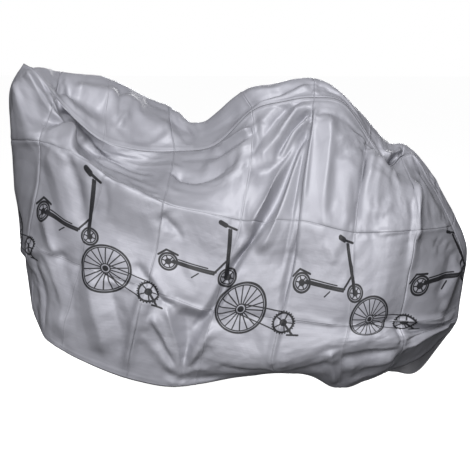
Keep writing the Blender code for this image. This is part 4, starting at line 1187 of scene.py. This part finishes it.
def scooter_drawing(pen):
    """A kick scooter, seen from the side."""
    rear = (-0.085, -0.058)
    front = (0.080, -0.058)
    head = (0.050, 0.075)
    axle, rim, tyre = (0.006, 0.018, 0.024)     # radii
    guard = beside(rear, -0.012, 0.032)
    heavy = [
        pen.stroke(beside(rear, 0.006, 0.002), (0.040, -0.056)),
        pen.stroke(beside(rear, 0.012, 0.007), (0.044, -0.050)),
        pen.stroke((0.040, -0.053), (0.066, -0.010)),
        pen.stroke(front, head),
        pen.stroke(beside(front, -0.006, 0.004), beside(head, -0.005, 0)),
        pen.stroke(beside(head, -0.026, 0.010), beside(head, 0.014, 0.004)),
        pen.stroke(beside(head, -0.030, 0.012), beside(head, -0.016, 0.008)) - LINE,
        pen.stroke(beside(rear, -0.030, 0.012), guard),
        pen.stroke(guard, beside(rear, 0.020, 0.026)),
    ]
    light = [
        pen.stroke((0.000, -0.064), (-0.014, -0.080)),
        pen.stroke((-0.060, -0.044), (0.020, -0.044)),
    ]
    for wheel in (rear, front):
        heavy += [pen.ring(wheel, tyre), pen.disc(wheel, axle)]
        light += [pen.ring(wheel, rim), pen.spokes(wheel, axle, rim, 6)]
    return pen.drawing(heavy, light)


def print_mask(nodes, along, up):
    """One on the printed lines and nought beside them."""
    marks = []
    for draw, start, row in (
        (wheel_drawing, WHEEL_START, WHEEL_ROW),
        (scooter_drawing, SCOOTER_START, SCOOTER_ROW),
    ):
        x = tile(nodes, along, start, PRINT_PITCH) / DRAWN
        marks.append(draw(Pen(nodes, x, (up - row) / DRAWN)))
    return 1 - nodes.step(nodes.least(marks), LINE - EDGE, LINE + EDGE)


# ---- materials -------------------------------------------------------------------------
def opaque(colour):
    """A colour with its fourth value."""
    return (*colour, 1.0)


class Finish:
    """A new material, its nodes and its surface shader."""

    def __init__(self, name):
        self.material = bpy.data.materials.new(name)
        self.material.use_nodes = True
        self.nodes = Nodes(self.material.node_tree)
        self.shader = self.material.node_tree.nodes["Principled BSDF"]

    def give(self, qualities):
        """Set or link the surface's qualities; returns the material."""
        for name, value in qualities.items():
            self.nodes.set(self.shader.inputs[name], value)
        return self.material


def panel_place(nodes):
    """Where a point lies on the flat panel, in metres: along, up, and both as a vector."""
    flat = nodes.add("ShaderNodeUVMap", {"uv_map": "flat"})
    metres = nodes.vector("MULTIPLY", flat, (PANEL_LENGTH, PANEL_LENGTH, 0.0))
    along = nodes.add("ShaderNodeSeparateXYZ", None, {0: metres})
    return along, nodes.other(along, "Y"), metres


def film_bump(nodes, metres, along, up):
    """The crinkle of thin film, in metres.

    It has small flat facets, soft waves, crackled patches, level streaks of the calender
    roll, and the sharp lines of the packing creases.
    """
    cells = nodes.clamp(nodes.cracks(metres, CRACKLES) * CRACKLE_STEEP)
    crackled = nodes.step(nodes.noise(metres, CRACKLE_PATCHES), *CRACKLE_SHOWN)
    stretched = nodes.add("ShaderNodeMapping", None, {"Vector": metres, "Scale": STREAKS})
    waves = nodes.noise(metres, SOFT_WAVES, *SOFT_GRAIN)
    height = waves * SOFT_WAVE + cells * crackled * CRACKLE + nodes.noise(stretched, 1.0) * STREAK
    for turn, apart in SMALL_FACETS:
        height = height + facet_set(nodes, metres, turn, apart, SMALL_PATCH) * SMALL_SLOPE
    level = nodes.math("PINGPONG", up, 0.5 * LEVEL_CREASES[0])
    upright = nodes.math("PINGPONG", along, 0.5 * UPRIGHT_CREASES[0])
    packed = 1 - nodes.step(nodes.least((level, upright)), 0.0, CREASE_LINE)
    sockets = {"Strength": RELIEF_STRENGTH, "Distance": 1.0, "Height": height - packed * CREASE_SUNK}
    return nodes.add("ShaderNodeBump", None, sockets)


def outer_film():
    """Silver film with its black print."""
    film = Finish("silver_film")
    nodes = film.nodes
    along, up, metres = panel_place(nodes)
    cloudy = nodes.noise(metres, CLOUDS, *CLOUD_GRAIN)
    worn = nodes.step(cloudy, *WORN_SHOWN)
    silver = nodes.mix_colour(worn, opaque(SILVER), opaque(SILVER_WORN))
    full = nodes.step(nodes.noise(metres, INK_SPECKS, *SPECK_GRAIN), *INK_SHOWN)
    ink = print_mask(nodes, along, up) * (full * (1 - INK_COVER) + INK_COVER)
    return film.give({
        "Base Color": nodes.mix_colour(ink, silver, opaque(INK)),
        "Roughness": SILVER_ROUGHNESS + CLOUDY_ROUGHNESS * cloudy,
        "Metallic": SILVER_METAL * (1 - ink),
        "Coat Weight": COAT * (1 - ink),
        "Coat Roughness": COAT_ROUGHNESS,
        "Specular IOR Level": SPECULAR,
        "Normal": film_bump(nodes, metres, along, up),
    })


def inner_film():
    """The plain back of the film, and its cut edges."""
    film = Finish("film_back")
    nodes = film.nodes
    along, up, metres = panel_place(nodes)
    cloudy = nodes.noise(metres, CLOUDS, *CLOUD_GRAIN)
    worn = tuple(INSIDE_WORN * part for part in INSIDE)
    return film.give({
        "Base Color": nodes.mix_colour(cloudy, opaque(INSIDE), opaque(worn)),
        "Roughness": INSIDE_ROUGHNESS + CLOUDY_ROUGHNESS * cloudy,
        "Metallic": INSIDE_METAL,
        "Normal": film_bump(nodes, metres, along, up),
    })


def floor_finish():
    """Plain pale studio floor."""
    return Finish("studio_floor").give({
        "Base Color": opaque(FLOOR),
        "Roughness": FLOOR_ROUGHNESS,
        "Emission Color": opaque(WHITE),
        "Emission Strength": FLOOR_GLOW,
    })


# ---- the sheets ------------------------------------------------------------------------
def new_object(name, data):
    """A new object in the scene that holds the given mesh, lamp or camera."""
    made = bpy.data.objects.new(name, data)
    bpy.context.collection.objects.link(made)
    return made


def open_net(name, side, points, us, vs):
    """One panel's outer side as an open net that knows its place on the flat panel."""
    rows, columns = len(vs) - 1, len(us) - 1
    corner = (np.arange(rows)[:, None] * (columns + 1) + np.arange(columns)[None, :]).ravel()
    faces = np.stack([corner, corner + 1, corner + columns + 2, corner + columns + 1], axis=1)
    flat = np.stack(np.meshgrid(us, vs), axis=-1).reshape(-1, 2)
    shown = flat.copy()
    if side == "far":
        # seen from outside, the far panel runs the other way
        faces = faces[:, ::-1]
        shown[:, 0] = PANEL_LENGTH - shown[:, 0]
    mesh = bpy.data.meshes.new(name)
    mesh.from_pydata((points - np.array(SADDLE)).reshape(-1, 3), [], faces)
    layer = mesh.uv_layers.new(name="flat")
    layer.data.foreach_set("uv", (shown[faces.ravel()] / PANEL_LENGTH).ravel())
    place = mesh.attributes.new("place", "FLOAT_VECTOR", "POINT")
    place.data.foreach_set("vector", np.column_stack([flat, np.zeros(len(flat))]).ravel())
    loose = mesh.attributes.new("loose", "FLOAT", "POINT")
    loose.data.foreach_set("value", edge_hold(us, vs).ravel())
    mesh.update()
    return mesh


def film_tree():
    """Rumples a net between its creases and turns it into a closed sheet of film."""
    tree = bpy.data.node_groups.new("rumpled_film", "GeometryNodeTree")
    tree.is_modifier = True
    face = tree.interface
    face.new_socket("Geometry", in_out="INPUT", socket_type="NodeSocketGeometry")
    for name in (*FILM_SIZES, "Seed"):
        face.new_socket(name, in_out="INPUT", socket_type="NodeSocketFloat")
    for name in ("Outer Finish", "Inner Finish"):
        face.new_socket(name, in_out="INPUT", socket_type="NodeSocketMaterial")
    face.new_socket("Geometry", in_out="OUTPUT", socket_type="NodeSocketGeometry")
    nodes = Nodes(tree)
    net = nodes.add("NodeGroupInput")

    def asked(name):
        """The value of one of the tree's named inputs."""
        return nodes.other(net, name)

    def known(name, data_type):
        """What the net knows about its points by that name."""
        kind = "GeometryNodeInputNamedAttribute"
        return nodes.add(kind, {"data_type": data_type}, {"Name": name})

    def finished(geometry, finish):
        """The geometry with one of the two finishes."""
        sockets = {"Geometry": geometry, "Material": asked(finish)}
        return nodes.add("GeometryNodeSetMaterial", None, sockets)

    shift = nodes.add("ShaderNodeCombineXYZ", None, {"Z": asked("Seed")})
    place = nodes.vector("ADD", known("place", "FLOAT_VECTOR"), shift)
    rumples = nodes.noise(place, 1 / asked("Rumple Size"))
    height = (rumples - 0.5) * 2.0 * asked("Rumple Depth")
    for turn, apart in FACETS:
        facets = facet_set(nodes, place, turn, apart, asked("Facet Patch"))
        height = height + facets * asked("Facet Slope")
    normal = nodes.add("GeometryNodeInputNormal")
    sockets = {0: normal, "Scale": height * known("loose", "FLOAT")}
    lift = nodes.add("ShaderNodeVectorMath", {"operation": "SCALE"}, sockets)
    rumpled = nodes.add("GeometryNodeSetPosition", None, {"Geometry": net, "Offset": lift})
    outer = nodes.add("GeometryNodeTriangulate", None, {0: rumpled})
    inwards = 0 - asked("Thickness")
    sockets = {"Mesh": outer, "Offset": normal, "Offset Scale": inwards, "Individual": False}
    pushed = nodes.add("GeometryNodeExtrudeMesh", {"mode": "FACES"}, sockets)
    inner = nodes.add("GeometryNodeFlipFaces", None, {"Mesh": pushed})
    both = [finished(outer, "Outer Finish"), finished(inner, "Inner Finish")]
    sheet = nodes.add("GeometryNodeJoinGeometry", None, {"Geometry": both})
    sockets = {"Geometry": sheet, "Distance": SAME_POINT}
    closed = nodes.add("GeometryNodeMergeByDistance", None, sockets)
    real = nodes.add("GeometryNodeRealizeInstances", None, {"Geometry": closed})
    nodes.set(tree.nodes.new("NodeGroupOutput").inputs["Geometry"], real)
    return tree


def ask(modifier, wishes):
    """Set a node tree's named inputs."""
    for socket in modifier.node_group.interface.items_tree:
        if socket.name in wishes and socket.in_out == "INPUT":
            modifier[socket.identifier] = wishes[socket.name]


def plain_mesh(holder, name):
    """What a modifier has made, as a mesh of its own; the holder goes."""
    graph = bpy.context.evaluated_depsgraph_get()
    mesh = bpy.data.meshes.new_from_object(holder.evaluated_get(graph))
    bpy.data.objects.remove(holder)
    mesh.name = name
    return mesh


def film_sheet(name, net, tree, wishes):
    """One panel as a closed sheet of film, made from its open net."""
    holder = new_object(net.name, net)
    modifier = holder.modifiers.new("film", "NODES")
    modifier.node_group = tree
    ask(modifier, wishes)
    mesh = plain_mesh(holder, name)
    for extra in ("place", "loose"):
        if extra in mesh.attributes:
            mesh.attributes.remove(mesh.attributes[extra])
    mesh.shade_smooth()
    return new_object(name, mesh)


def build_cover():
    """Both panels, from their hanging lines, folds and creases."""
    us = places(CELLS_ALONG, UPRIGHT_CREASES)
    vs = places(CELLS_UP, LEVEL_CREASES)
    near = hanging_net("near", us, vs)
    far = hanging_net("far", us, vs)
    near_out, far_out = shared_outward(near, far)
    tree = film_tree()
    wishes = {**FILM_SIZES, "Outer Finish": outer_film(), "Inner Finish": inner_film()}
    for side, points, out in (("near", near, near_out), ("far", far, far_out)):
        folded = points + out * panel_relief(side, us, vs)[..., None]
        net = open_net(side + "_film_net", side, folded, us, vs)
        wishes["Seed"] = float(SEED[side])
        sheet = film_sheet(side + "_film_sheet", net, tree, wishes)
        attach(sheet, "root")
        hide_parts(side + "_panel")
        side + "_film"


# ---- studio ----------------------------------------------------------------------------
def in_frame(place):
    """A place of the tables, measured from the mount's point."""
    return Vector(place) - Vector(SADDLE)


def add_floor():
    """A pale floor that runs to the horizon and throws no light on the film."""
    corners = ((-1, -1), (1, -1), (1, 1), (-1, 1))
    mesh = bpy.data.meshes.new("floor")
    verts = [(x * FLOOR_HALF, y * FLOOR_HALF, -SADDLE[2]) for x, y in corners]
    mesh.from_pydata(verts, [], [(0, 1, 2, 3)])
    mesh.materials.append(floor_finish())
    floor = new_object("floor", mesh)
    floor.visible_diffuse = False
    floor.visible_glossy = False


def add_lamp(lamp):
    """A soft square lamp that faces the cover."""
    light = bpy.data.lights.new(lamp.name, "AREA")
    light.size = lamp.size
    light.energy = lamp.power
    made = new_object(lamp.name, light)
    made.location = in_frame(lamp.place)
    made.rotation_euler = (in_frame(LAMP_AIM) - made.location).to_track_quat("-Z", "Y").to_euler()


def add_surround():
    """A white surround that the camera sees, and the film hardly does.

    So the film's sheen comes from the lamps.
    """
    world = bpy.data.worlds.new("studio")
    world.use_nodes = True
    nodes = Nodes(world.node_tree)
    seen = nodes.add("ShaderNodeLightPath", None, None, "Is Camera Ray")
    background = world.node_tree.nodes["Background"]
    nodes.set(background.inputs["Color"], opaque(WHITE))
    nodes.set(background.inputs["Strength"], FILL + seen * (SURROUND - FILL))
    bpy.context.scene.world = world


def add_camera():
    """The camera of the photograph."""
    data = bpy.data.cameras.new("camera")
    data.sensor_width = SENSOR
    data.lens = SENSOR * FOCAL / FRAME_SIZE
    camera = new_object("camera", data)
    way = Vector((sin(TURNED) * cos(RAISED), -cos(TURNED) * cos(RAISED), sin(RAISED)))
    camera.location = in_frame(AIM) + DISTANCE * way
    camera.rotation_euler = (-way).to_track_quat("-Z", "Y").to_euler()
    bpy.context.scene.camera = camera
    bpy.context.scene.view_settings.view_transform = "Standard"


add_camera()
build_cover()
add_floor()
for lamp in LAMPS:
    add_lamp(lamp)
add_surround()
